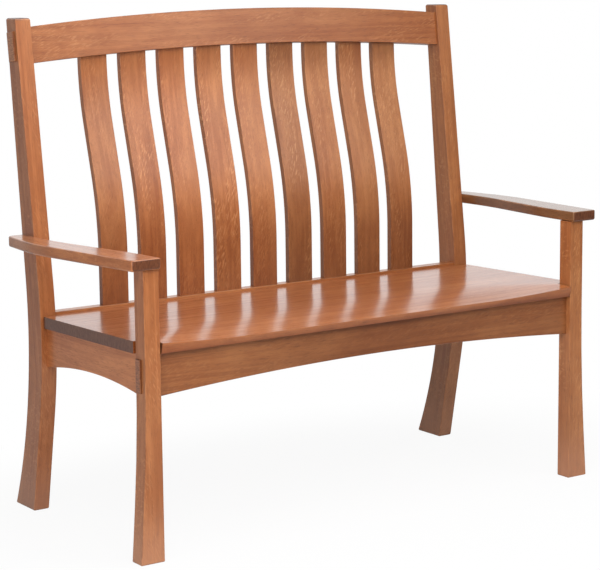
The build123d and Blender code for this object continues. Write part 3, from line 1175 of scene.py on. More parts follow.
@dataclass(frozen=True)
class BackPosts:
    """The two back posts, raked above the seat and swept back to a heel below it.

    Attributes:
        layout: The settle's shared places.
        rear_knee: Height of the bend in the rear face.
        waist: Front to back, from the front bend to the rear bend.
        kick: How far the front face runs back from its bend to the floor.
        top_depth: Front to back at the top.
        foot_depth: Front to back at the floor.
        front_share: Share of the shorter run that the front bend's curve takes.
        rear_share: Share of the shorter run that the rear bend's curve takes.
        top_ease: Rounding round the top.
        foot_ease: Rounding round the sole.
        sweep: How late the grain turns back below the bend, 1 for at once.
        characters: What the left and the right post look like.
    """

    layout: Layout
    rear_knee: float = 0.267
    waist: float = 0.056
    kick: float = 0.0775
    top_depth: float = 0.0444
    foot_depth: float = 0.0922
    front_share: float = 0.39
    rear_share: float = 0.975
    top_ease: float = 0.0046
    foot_ease: float = 0.0036
    sweep: float = 1.6
    characters: tuple[Character, Character] = (Character(0.05, 0.2, 0.4), Character(-0.05, -0.6, 0.5))

    def blank(self) -> Solid:
        """Make the right-hand post without eased edges or joints.

        Returns:
            The post's solid.
        """
        plan = self.layout
        head, toe = plan.post_front + plan.post_lean, plan.post_front + self.kick
        corners = [
            (toe, 0.0), (toe + self.foot_depth, 0.0), (plan.post_front + self.waist, self.rear_knee),
            (head + self.top_depth, plan.post_height), (head, plan.post_height),
            (plan.post_front, plan.post_knee),
        ]
        rear, front = bend_radius(corners, 2, self.rear_share), bend_radius(corners, 5, self.front_share)
        profile = rounded(corners, [0, 0, rear, 0, 0, front])
        return prism(View.SIDE, profile, plan.post_inner, plan.post_outer)

    def solid(self, mortise: Callable[[], Solid]) -> Solid:
        """Make the right-hand post.

        Args:
            mortise: Makes the room for the crest rail's tenon.

        Returns:
            The post's solid.
        """
        top = self.layout.post_height
        post = self.blank()
        ease(post, self.foot_ease, lambda middle: middle.z < TOUCH)
        ease(post, self.top_ease, lambda middle: middle.z > top - TOUCH)
        ease(post, self.layout.arris, lambda middle: CLEAR < middle.z < top - CLEAR)
        return carve(post, [mortise()])

    def centre(self, height: float) -> float:
        """Find the middle of a post, front to back.

        Args:
            height: The height to look at.

        Returns:
            The place of the middle.
        """
        plan = self.layout
        if height > plan.post_knee:
            return plan.post_front_at(height)
        return plan.post_front + self.kick * ((plan.post_knee - height) / plan.post_knee) ** self.sweep

    def build(self, shop: Workshop, finish: Finish, mortise: Callable[[], Solid]) -> None:
        """Build and dress both posts, each with the mortise for the crest rail's tenon."""
        make = partial(self.solid, mortise)
        shop.complete_pair(make, "back_post", finish, Grain.ALONG_Z, self.characters, self.centre)


@dataclass(frozen=True)
class Slats:
    """Nine slats with an S bend, let into the lower rail and the crest rail.

    Attributes:
        layout: The settle's shared places.
        rail_top: Top of the lower back rail.
        crest: The crest rail, which the heads enter.
        width: Width of a slat.
        gap: From one slat to the next.
        thickness: Thickness of a slat.
        foot_setback: Behind the lower rail's front face.
        head_setback: Behind the crest rail's front face.
        low_bend: Height of the lower bend.
        high_bend: Height of the upper bend.
        low_share: Share of the shorter run that the lower bend's curve takes.
        high_share: Share of the shorter run that the upper bend's curve takes.
        foot_entry: How deep the foot stands in the lower rail.
        head_entry: How deep the head stands in the crest rail.
        foot_stain: How much painted shade darkens the foot near the seat, compared with the slat between its
            bends.
        foot_stain_reach: How far above the lower bend that starts.
        foot_stain_run: Over what height it grows.
        painted_head_shades: How much darker each head is than the slat between its bends, from the left, as
            painted shade under the crest rail.
        painted_head_shade_run: Over what height above the upper bend that grows.
        characters: What each slat looks like, from the left.
    """

    layout: Layout
    rail_top: float
    crest: CrestRail
    width: float = 0.0695
    gap: float = 0.0353
    thickness: float = 0.016
    foot_setback: float = 0.0064
    head_setback: float = 0.0128
    low_bend: float = 0.6906
    high_bend: float = 0.9763
    low_share: float = 0.475
    high_share: float = 0.86
    foot_entry: float = 0.012
    head_entry: float = 0.015
    # The foot and head values paint shade: near the seat and under the crest rail.
    foot_stain: float = 1.5
    foot_stain_reach: float = 0.03
    foot_stain_run: float = 0.2
    painted_head_shades: tuple[float, ...] = (0.0, 0.6, 0.65, 0.95, 0.6, 0.9, 0.95, 0.7, 0.95)
    painted_head_shade_run: float = 0.05
    characters: tuple[Character, ...] = (
        Character(-0.2, 0.1, 0.4), Character(-0.08, 0.4, 1.0), Character(0.22, 0.3, 0.6),
        Character(0.35, -0.2, 1.0), Character(-0.05, 0.2, 0.7), Character(-0.3, -0.5, 1.0),
        Character(0.1, -0.6, 0.6), Character(-0.15, -0.4, 1.0), Character(-0.1, -0.5, 0.8),
    )

    def places(self) -> list[float]:
        """Find the middles of the slats along the settle, from the left."""
        count = len(self.characters)
        return [(self.width + self.gap) * (number - (count - 1) / 2) for number in range(count)]

    def bends(self) -> list[Point]:
        """Find the two corners of a slat's front line, seen from the side."""
        front = self.layout.rail_front + self.foot_setback
        return [(front, self.low_bend), (self.crest.front() + self.head_setback, self.high_bend)]

    def solid(self, place: float, play: float = 0.0) -> Solid:
        """Make one slat, or the room that it needs in the rails.

        Args:
            place: Its middle along the settle.
            play: How much larger than the slat the room is.

        Returns:
            The slat's solid.
        """
        low, high = self.bends()
        foot = self.rail_top - self.foot_entry - play
        head = self.crest.under(place) + self.head_entry + play
        shortest = self.crest.under(self.places()[-1]) + self.head_entry
        lower = bend_radius([(low[0], self.rail_top), low, high], 1, self.low_share)
        upper = bend_radius([low, high, (high[0], shortest)], 1, self.high_share)
        deep = self.thickness + play
        drop = deep * math.tan(math.atan2(high[0] - low[0], high[1] - low[1]) / 2)
        corners = [
            (low[0] - play, foot), (low[0] - play, low[1]), (high[0] - play, high[1]), (high[0] - play, head),
            (high[0] + deep, head), (high[0] + deep, high[1] - drop), (low[0] + deep, low[1] - drop),
            (low[0] + deep, foot),
        ]
        turns = [0, lower, upper, 0, 0, upper + deep, lower - deep, 0]
        half = self.width / 2 + play
        slat = prism(View.SIDE, rounded(corners, turns), place - half, place + half)
        if play == 0:
            ease(slat, self.layout.arris)
        return slat

    def slots(self) -> list[Solid]:
        """Make the room that all slats need in a rail."""
        return [self.solid(place, HAIRLINE) for place in self.places()]

    def centre(self, height: float) -> float:
        """Find the front line of the slats at a height.

        Args:
            height: The height to look at.

        Returns:
            The place of the front line, front to back.
        """
        low, high = self.bends()
        share = clamped((height - self.rail_top) / (self.crest.low - self.rail_top))
        return low[0] + (high[0] - low[0]) * share * share * (3 - 2 * share)

    def stain(self, head_stain: float, corner: Vector) -> float:
        """Find how much painted shade darkens a slat at a corner, beyond its bends, near the seat and under
        the crest rail.

        Args:
            head_stain: How much painted shade darkens its head.
            corner: The corner to look at.

        Returns:
            The loss of lightness there.
        """
        below = clamped((self.low_bend + self.foot_stain_reach - corner.z) / self.foot_stain_run)
        above = clamped((corner.z - self.high_bend) / self.painted_head_shade_run)
        return self.foot_stain * below + head_stain * above

    def build(self, shop: Workshop, finish: Finish) -> None:
        """Build and dress the slats.

        Args:
            shop: Where the members are finished.
            finish: Their finish.
        """
        slats = zip(self.places(), self.characters, self.painted_head_shades)
        for number, (place, character, head_stain) in enumerate(slats, start=1):
            shop.complete(
                self.solid(place), f"slat_{number}", finish, Grain.ALONG_Z, character, centre=self.centre,
                shade=partial(self.stain, head_stain),
            )


@dataclass(frozen=True)
class TenonedRail:
    """A rail with tenons through the members at its ends, drawn upright and then moved to its place.

    Attributes:
        layout: The settle's shared places.
        low: Height of its lower edge at its ends.
        setback: Behind the front faces of the members at its ends.
        thickness: Front to back.
        tenon_height: Height of the tenons.
        tenon_lift: From the rail's lower corner up to a tenon.
        stain_reach: How far from the settle's middle the rail is scored, so that its darkening can change
            along it.
        stain_steps: How many times it is scored.
        character: What the rail looks like.
        shoulder: From the rail's faces in to a tenon's.
        proud: How far a tenon stands out of its member.
        tenon_ease: Rounding round a tenon's end.
        tenon_stain: How much painted shade darkens the sides of a tenon where it stands proud.
    """

    layout: Layout
    low: float
    setback: float
    thickness: float
    tenon_height: float
    tenon_lift: float
    stain_reach: float
    stain_steps: int
    character: Character
    shoulder: float = 0.001
    proud: float = 0.005
    tenon_ease: float = 0.0018
    # Painted shade on the proud sides of the tenons.
    tenon_stain: float = 1.2

    def ends(self) -> Pair:
        """The inner and the outer face of the right-hand member."""
        raise NotImplementedError

    def drawn(self) -> Pair:
        """The front face and the lower corner of the rail as it is drawn."""
        return (self.setback, self.low)

    def seated(self, solid: Solid) -> Solid:
        """Move what was drawn to its place."""
        return solid

    def tone(self, x: float) -> float:
        """How much darker the rail between its tenons is at a place along it."""
        raise NotImplementedError

    def tenon(self, play: float = 0.0) -> Solid:
        """Make the right-hand tenon, or the mortise for it.

        Args:
            play: How much larger than the tenon the mortise is.

        Returns:
            The tenon's solid.
        """
        (inner, outer), (front, foot) = self.ends(), self.drawn()
        end, low = outer + self.proud + play, foot + self.tenon_lift
        tenon = box(
            (inner - play, front + self.shoulder - play, low - play),
            (end, front + self.thickness - self.shoulder + play, low + self.tenon_height + play),
        )
        if play == 0:
            ease(tenon, self.tenon_ease, lambda middle: middle.x > end - TOUCH)
        return self.seated(tenon)

    def mortise(self) -> Solid:
        """Make the room for the right-hand tenon in its member."""
        return self.tenon(HAIRLINE)

    def stain(self, corner: Vector) -> float:
        """Find how much darker the rail is at a corner: painted shade on a proud tenon, and the rail's own
        darkening between them.
        """
        return self.tenon_stain if abs(corner.x) > self.ends()[1] else self.tone(corner.x)

    def complete(self, shop: Workshop, finish: Finish, node: str, rail: Solid) -> None:
        """Put the tenons on the rail and dress it.

        Args:
            shop: Where the members are finished.
            finish: Its finish.
            node: The CAD node that it stands for.
            rail: The rail between its tenons, which is used up.
        """
        scored(rail, self.stain_reach, self.stain_steps)
        whole = merged([rail, self.tenon(), mirrored(self.tenon())])
        shop.complete(whole, node, finish, Grain.ALONG_X_UPRIGHT, self.character, shade=self.stain)


@dataclass(frozen=True)
class CrestRail(TenonedRail):
    """The top rail, arched along both edges, with tenons through the posts. It leans as the posts do.

    Attributes:
        height: At the posts, measured up the rake.
        top_rise: Rise of the arch above.
        low_rise: Rise of the arch below.
        right_stain: How much darker the rail is right of its middle than at its left end, painted shade where
            less light reaches.
        right_stain_start: Where along the settle that starts.
        right_stain_run: Over what length it grows.
    """

    low: float = 1.043
    setback: float = 0.008
    thickness: float = 0.032
    tenon_height: float = 0.068
    tenon_lift: float = 0.0061
    stain_reach: float = 0.5
    stain_steps: int = 11
    character: Character = Character(-0.4, 0.3, 0.7)
    height: float = 0.0831
    top_rise: float = 0.0260
    low_rise: float = 0.0236
    # Painted shade: the rail darkens towards the right, where less light reaches it.
    right_stain: float = 0.3
    right_stain_start: float = -0.35
    right_stain_run: float = 0.45

    def ends(self) -> Pair:
        """The inner and the outer face of the right-hand post."""
        return (self.layout.post_inner, self.layout.post_outer)

    def drawn(self) -> Pair:
        """The front face and the lower corner of the rail as it is drawn."""
        return (0.0, 0.0)

    def front(self) -> float:
        """Place of the rail's front face at its lower corners."""
        return self.layout.post_front_at(self.low) + self.setback

    def seated(self, solid: Solid) -> Solid:
        """Lean what was drawn upright back into the rail's place.

        Args:
            solid: The solid, with its front at 0 and its lower corners at height 0.

        Returns:
            The same solid, leaned and moved.
        """
        lean = Matrix.Translation((0, self.front(), self.low)) @ Matrix.Rotation(-self.layout.rake, 4, "X")
        bmesh.ops.transform(solid, matrix=lean, verts=solid.verts)
        return solid

    def under(self, place: float) -> float:
        """Find the height of the rail's lower edge.

        Args:
            place: Where along the settle.

        Returns:
            The height.
        """
        span, rise = self.layout.post_inner, self.low_rise
        radius = (span ** 2 + rise ** 2) / (2 * rise)
        return self.low + (math.sqrt(radius ** 2 - place ** 2) - radius + rise) * math.cos(self.layout.rake)

    def tone(self, x: float) -> float:
        """How much painted shade darkens the rail between its tenons at a place along it."""
        return self.right_stain * clamped((x - self.right_stain_start) / self.right_stain_run)

    def build(self, shop: Workshop, finish: Finish, slots: Iterable[Solid]) -> None:
        """Build and dress the rail.

        Args:
            shop: Where the members are finished.
            finish: Its finish.
            slots: The room for each slat.
        """
        end, top = self.layout.post_inner, self.height
        below = arch((-end, 0.0), (0.0, self.low_rise), (end, 0.0), LONG_ARCH_STEPS)
        above = arch((end, top), (0.0, top + self.top_rise), (-end, top), LONG_ARCH_STEPS)
        rail = prism(View.FRONT, below + above, 0.0, self.thickness)
        ease(rail, self.layout.arris, lambda middle: abs(middle.x) < end - TOUCH)
        self.complete(shop, finish, "crest_rail", carve(self.seated(rail), slots))


@dataclass(frozen=True)
class LowerRail:
    """The rail that the slats stand in.

    Attributes:
        layout: The settle's shared places.
        top: Its top edge.
        height: Its height.
        thickness: Front to back.
        character: What it looks like.
    """

    layout: Layout
    top: float = 0.4785
    height: float = 0.090
    thickness: float = 0.028
    character: Character = Character(-0.4, 0.1, 0.3)

    def build(self, shop: Workshop, finish: Finish, slots: Iterable[Solid]) -> None:
        """Build and dress the rail.

        Args:
            shop: Where the members are finished.
            finish: Its finish.
            slots: The room for each slat.
        """
        end, front = self.layout.post_inner, self.layout.rail_front
        rail = box((-end, front, self.top - self.height), (end, front + self.thickness, self.top))
        ease(rail, self.layout.arris, lambda middle: abs(middle.x) < end - TOUCH)
        shop.complete(carve(rail, slots), "lower_back_rail", finish, Grain.ALONG_X_UPRIGHT, self.character)


@dataclass(frozen=True)
class FrontApron(TenonedRail):
    """The rail under the seat's front edge, with tenons through the legs.

    Attributes:
        rise: Rise of the arch below.
        middle_stain: How much darker the apron's middle is than its ends.
        middle_stain_reach: How far from the middle that ends.
    """

    low: float = 0.3595
    setback: float = 0.014
    thickness: float = 0.021
    tenon_height: float = 0.0725
    tenon_lift: float = 0.012
    stain_reach: float = 0.48
    stain_steps: int = 13
    character: Character = Character(-1.0, 0.1, 0.4)
    rise: float = 0.0235
    # The apron is darker in its middle than at its ends.
    middle_stain: float = 0.7
    middle_stain_reach: float = 0.42

    def ends(self) -> Pair:
        """The inner and the outer face of the right-hand leg."""
        return (self.layout.leg_inner, self.layout.leg_outer)

    def tone(self, x: float) -> float:
        """How much darker the apron between its tenons is at a place along it."""
        return self.middle_stain * max(0.0, 1 - (x / self.middle_stain_reach) ** 2)

    def build(self, shop: Workshop, finish: Finish) -> None:
        """Build and dress the apron.

        Args:
            shop: Where the members are finished.
            finish: Its finish.
        """
        plan = self.layout
        end, top = plan.leg_inner, plan.seat_height
        outline = arch((-end, self.low), (0.0, self.low + self.rise), (end, self.low), LONG_ARCH_STEPS)
        outline += [(end, top), (-end, top)]
        apron = prism(View.FRONT, outline, self.setback, self.setback + self.thickness)
        ease(apron, plan.arris, lambda middle: abs(middle.x) < end - TOUCH and middle.z < top - CLEAR)
        lay_top(apron, top, plan.seat_under)
        self.complete(shop, finish, "front_apron", apron)


@dataclass(frozen=True)
class SideAprons:
    """The two side rails under the seat, arched below and scribed to the posts.

    Attributes:
        layout: The settle's shared places.
        posts: The back posts, which the rear ends are scribed to.
        inner: Inner face, from the settle's middle.
        outer: Outer face.
        front_low: Height of the lower edge at the leg.
        rear_low: Height of the lower edge at the post.
        rise: Rise of the arch below.
        eased_below: Height under which the long edges are eased.
        characters: What the left and the right apron look like.
    """

    layout: Layout
    posts: BackPosts
    inner: float = 0.587
    outer: float = 0.608
    front_low: float = 0.363
    rear_low: float = 0.3515
    rise: float = 0.0185
    eased_below: float = 0.4
    characters: tuple[Character, Character] = (Character(0.55, 0.9, 0.3), Character(0.3, 0.3, 0.3))

    def solid(self) -> Solid:
        """Make the right-hand apron.

        Returns:
            The apron's solid.
        """
        plan = self.layout
        front, rear = plan.leg_depth, plan.rail_front
        crown = ((front + rear) / 2, (self.front_low + self.rear_low) / 2 + self.rise)
        outline = arch((front, self.front_low), crown, (rear, self.rear_low))
        outline += [(rear, plan.seat_under(rear)), (front, plan.seat_under(front))]
        apron = prism(View.SIDE, outline, self.inner, self.outer)

        def below(middle: Vector) -> bool:
            """Accept the long edges at the arch."""
            return front + CLEAR < middle.y < rear - CLEAR and middle.z < self.eased_below

        ease(apron, plan.arris, below)
        return carve(apron, [self.posts.blank()])

    def build(self, shop: Workshop, finish: Finish) -> None:
        """Build and dress both aprons."""
        shop.complete_pair(self.solid, "side_apron", finish, Grain.ALONG_Y_UPRIGHT, self.characters)


@dataclass(frozen=True)
class Seat:
    """The seat of four boards, dished along its length and notched round legs and posts.

    Attributes:
        layout: The settle's shared places.
        end: Its ends, from the settle's middle.
        leg_gap: From the seat to a leg's inner face.
        leg_gap_behind: From the seat to a leg's rear face.
        post_gap: From the seat to a post.
        dish_floor: Half the length over which the dish is level.
        dish_depth: From the seat's ends down to that level.
        contour: How far the dished part stands above the level of the dish, from front to back.
        blend: How softly the dish runs out into the flat.
        undercut: How far the front edge leans back towards its lower arris.
        edge: Rounding of the edges.
        edge_strips: Into how many strips that is divided.
        cell_length: Longest cell of the boards' grid along the settle.
        cell_depth: Longest cell from front to back.
        notch_stain: How much painted shade darkens the boards inside the notches round the legs.
        front_stain: How much painted shade darkens the first board's front face, compared with its top.
        front_depth: How far back that face reaches, its lean included.
        front_start: Where it starts below the top, as a share of the edges' rounding.
        characters: What each board looks like, from the front.
    """

    layout: Layout
    end: float = 0.617
    leg_gap: float = 0.0025
    leg_gap_behind: float = 0.003
    post_gap: float = 0.001
    dish_floor: float = 0.300
    dish_depth: float = 0.0115
    contour: tuple[Point, ...] = (
        (-0.0064, 0.0), (0.020, 0.0017), (0.045, 0.0035), (0.072, 0.0051), (0.100, 0.0064), (0.130, 0.0073),
        (0.160, 0.0076), (0.200, 0.0072), (0.250, 0.0061), (0.300, 0.0052), (0.380, 0.0047), (0.462, 0.0046),
    )
    blend: float = 0.0008
    undercut: float = 0.007
    edge: float = 0.0022
    edge_strips: int = 3
    cell_length: float = 0.0125
    cell_depth: float = 0.015
    # Painted shade in the leg notches and on the seat's front face.
    notch_stain: float = 1.6
    front_stain: float = 1.5
    front_depth: float = 0.002
    front_start: float = 0.3
    characters: tuple[Character, ...] = (
        Character(-0.1, 0.9, 0.3), Character(-0.15, 1.0, 0.3),
        Character(-0.05, 0.8, 0.3), Character(0.0, 0.8, 0.3),
    )

    def top(self, x: float, y: float) -> float:
        """Find the height of the seat.

        Args:
            x: Place along the settle.
            y: Place from front to back.

        Returns:
            The height of its top.
        """
        plan = self.layout
        run = self.end - self.dish_floor
        radius = (run ** 2 + self.dish_depth ** 2) / (2 * self.dish_depth)
        beyond = max(0.0, abs(x) - self.dish_floor)
        dish = plan.seat_height - self.dish_depth + radius - math.sqrt(radius ** 2 - beyond ** 2)
        dish += curve(self.contour, y)
        flat = plan.seat_top(y)
        return (dish + flat - math.hypot(dish - flat, self.blend)) / 2

    def leg_notch(self) -> Point:
        """Inner side and rear edge of the notch round the right-hand leg."""
        return (self.layout.leg_inner - self.leg_gap, self.layout.leg_depth + self.leg_gap_behind)

    def post_notch(self) -> Point:
        """Inner side and front edge of the notch round the right-hand post."""
        front = self.layout.post_front_at(self.layout.seat_top(self.layout.post_front))
        return (self.layout.post_inner - self.post_gap, front - self.post_gap * 2)

    def within(self, x: float, y: float) -> bool:
        """Tell whether a place lies within the seat's outline.

        Args:
            x: Place along the settle.
            y: Place from front to back.

        Returns:
            False in the notches round legs and posts.
        """
        (leg_side, leg_rear), (post_side, post_front) = self.leg_notch(), self.post_notch()
        in_leg_notch = abs(x) > leg_side and y < leg_rear
        in_post_notch = abs(x) > post_side and y > post_front
        return not (in_leg_notch or in_post_notch)

    def stain(self, corner: Vector) -> float:
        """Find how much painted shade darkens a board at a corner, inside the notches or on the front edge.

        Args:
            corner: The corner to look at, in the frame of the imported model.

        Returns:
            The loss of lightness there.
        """
        y = corner.y - FRONT
        if abs(corner.x) > self.layout.leg_inner:
            return self.notch_stain if y < self.leg_notch()[1] + HAIRLINE else 0.0
        below = self.top(corner.x, y) - corner.z
        return self.front_stain if y < self.front_depth and below > self.edge * self.front_start else 0.0

    def board(self, start: float, end: float) -> Solid:
        """Make one board as a grid of cells that follows the dish.

        Args:
            start: The board's front edge.
            end: Its rear edge.

        Returns:
            The board's solid.
        """
        (leg_side, leg_rear), (post_side, post_front) = self.leg_notch(), self.post_notch()
        breaks = sorted(side * place for place in (self.end, leg_side, post_side) for side in (-1, 1))
        stops = [start, *[place for place in (leg_rear, post_front) if start < place < end], end]
        return self.cells(stepped(breaks, self.cell_length), stepped(stops, self.cell_depth))

    def cells(self, xs: Sequence[float], ys: Sequence[float]) -> Solid:
        """Close a grid of cells into a solid.

        Args:
            xs: The grid's places along the settle.
            ys: The grid's places from front to back.

        Returns:
            The solid of all cells that lie within the seat.
        """
        solid = fresh_solid()
        used: dict[tuple[int, int, bool], bmesh.types.BMVert] = {}

        def corner(i: int, j: int, upper: bool) -> bmesh.types.BMVert:
            """Find a corner of the grid, or make it at its first use."""
            if (i, j, upper) not in used:
                height = self.top(xs[i], ys[j]) if upper else self.layout.seat_under(ys[j])
                lean = 0.0 if upper or ys[j] > 0 else self.undercut
                used[i, j, upper] = solid.verts.new((xs[i], ys[j] + lean, height))
            return used[i, j, upper]

        filled = {
            (i, j) for i in range(len(xs) - 1) for j in range(len(ys) - 1)
            if self.within((xs[i] + xs[i + 1]) / 2, (ys[j] + ys[j + 1]) / 2)
        }
        for i, j in filled:
            ring = [(i, j), (i + 1, j), (i + 1, j + 1), (i, j + 1)]
            solid.faces.new([corner(*at, True) for at in ring])
            solid.faces.new([corner(*at, False) for at in reversed(ring)])
            beside = [(i, j - 1), (i + 1, j), (i, j + 1), (i - 1, j)]
            for index, neighbour in enumerate(beside):
                if neighbour not in filled:
                    here, on = ring[index], ring[(index + 1) % 4]
                    solid.faces.new(
                        (corner(*here, False), corner(*on, False), corner(*on, True), corner(*here, True))
                    )
        return solid

    def build(self, shop: Workshop, finish: Finish) -> None:
        """Build and dress the boards.

        Args:
            shop: Where the members are finished.
            finish: Their finish.
        """
        front, rear = -self.layout.seat_overhang, self.layout.rail_front
        count = len(self.characters)
        seams = [front + (rear - front) * number / count for number in range(count + 1)]

        def off_seam(middle: Vector) -> bool:
            """Accept the edges that don't touch the next board."""
            return all(abs(middle.y - seam) > TOUCH for seam in seams[1:-1])

        for number, character in enumerate(self.characters):
            board, node = self.board(seams[number], seams[number + 1]), f"seat_board_{number + 1}"
            ease(board, self.edge, off_seam, self.edge_strips)
            shop.complete(board, node, finish, Grain.ALONG_X_FLAT, character, shade=self.stain)


@dataclass(frozen=True)
class Arms:
    """The two flat arms, bent outwards in plan, on the legs and beside the posts.

    Attributes:
        layout: The settle's shared places.
        inset: Inside the leg's inner face, at the front end.
        front_width: Width at the front end.
        first_bend: Place of the bend in the inner edge.
        first_swing: How far out the inner edge has come there.
        lap_start: Where the inner edge meets the post's outer face.
        widest: Where the outer edge bends back.
        belly: Outside the post, at that bend.
        rear_width: Outside the post, at the rear end.
        rear: Place of the rear end.
        front_corner: Radius of the front corners.
        rear_corner: Radius of the rear corner.
        bend_share: Share of the shorter run that each bend's curve takes.
        upper_ease: Rounding of the upper edges.
        upper_strips: Into how many strips that is divided.
        lower_ease: Rounding of the lower edges.
        lower_strips: Into how many strips that is divided.
        characters: What the left and the right arm look like; the right arm's darker, less red tone is
            painted shade.
    """

    layout: Layout
    inset: float = 0.0015
    front_width: float = 0.071
    first_bend: float = 0.095
    first_swing: float = 0.005
    lap_start: float = 0.375
    widest: float = 0.365
    belly: float = 0.0619
    rear_width: float = 0.0415
    rear: float = 0.5281
    front_corner: float = 0.0065
    rear_corner: float = 0.014
    bend_share: float = 0.45
    upper_ease: float = 0.0030
    upper_strips: int = 3
    lower_ease: float = 0.0050
    lower_strips: int = 4
    # The right arm's low light and red values paint the shade that it stands in.
    characters: tuple[Character, Character] = (Character(0.4, 0.1, 0.3), Character(-1.4, -1.0, 0.3))

    def solid(self) -> Solid:
        """Make the right-hand arm.

        Returns:
            The arm's solid.
        """
        plan = self.layout
        inner, post = plan.leg_inner - self.inset, plan.post_outer
        corners = [
            (inner, -plan.arm_overhang), (inner + self.front_width, -plan.arm_overhang),
            (post + self.belly, self.widest), (post + self.rear_width, self.rear), (post, self.rear),
            (post, self.lap_start), (inner + self.first_swing, self.first_bend),
        ]
        belly, lap, swing = (bend_radius(corners, place, self.bend_share) for place in (2, 5, 6))
        radii = [self.front_corner, self.front_corner, belly, self.rear_corner, 0, lap, swing]
        arm = prism(View.PLAN, rounded(corners, radii), -plan.arm_thickness, 0.0)
        ease(arm, self.lower_ease, lambda middle: middle.z < TOUCH - plan.arm_thickness, self.lower_strips)
        ease(arm, self.upper_ease, lambda middle: middle.z > -TOUCH, self.upper_strips)
        for corner in arm.verts:
            corner.co.z += plan.arm_top(corner.co.y)
        return arm

    def build(self, shop: Workshop, finish: Finish) -> None:
        """Build and dress both arms."""
        shop.complete_pair(self.solid, "arm", finish, Grain.ALONG_Y_FLAT, self.characters)


@dataclass(frozen=True)
class Lamp:
    """A soft square lamp.

    Attributes:
        name: What it is called.
        place: Where it hangs.
        size: Length of its sides.
        power: Its power in watts.
        aim: The place that it points at.
        mirrored: Whether it shows in the lacquer.
    """

    name: str
    place: Place
    size: float
    power: float
    aim: Place = (0.0, 0.0, 0.6)
    mirrored: bool = True

    def hang(self) -> None:
        """Hang the lamp in the studio."""
        light = bpy.data.lights.new(self.name, "AREA")
        light.shape = "SQUARE"
        light.size = self.size
        light.energy = self.power
        lamp = placed(self.name, light)
        lamp.location = self.place
        lamp.visible_glossy = self.mirrored
        lamp.rotation_euler = (Vector(self.aim) - Vector(self.place)).to_track_quat("-Z", "Y").to_euler()
        log.info("%s lamp: %.0f W", self.name, self.power)


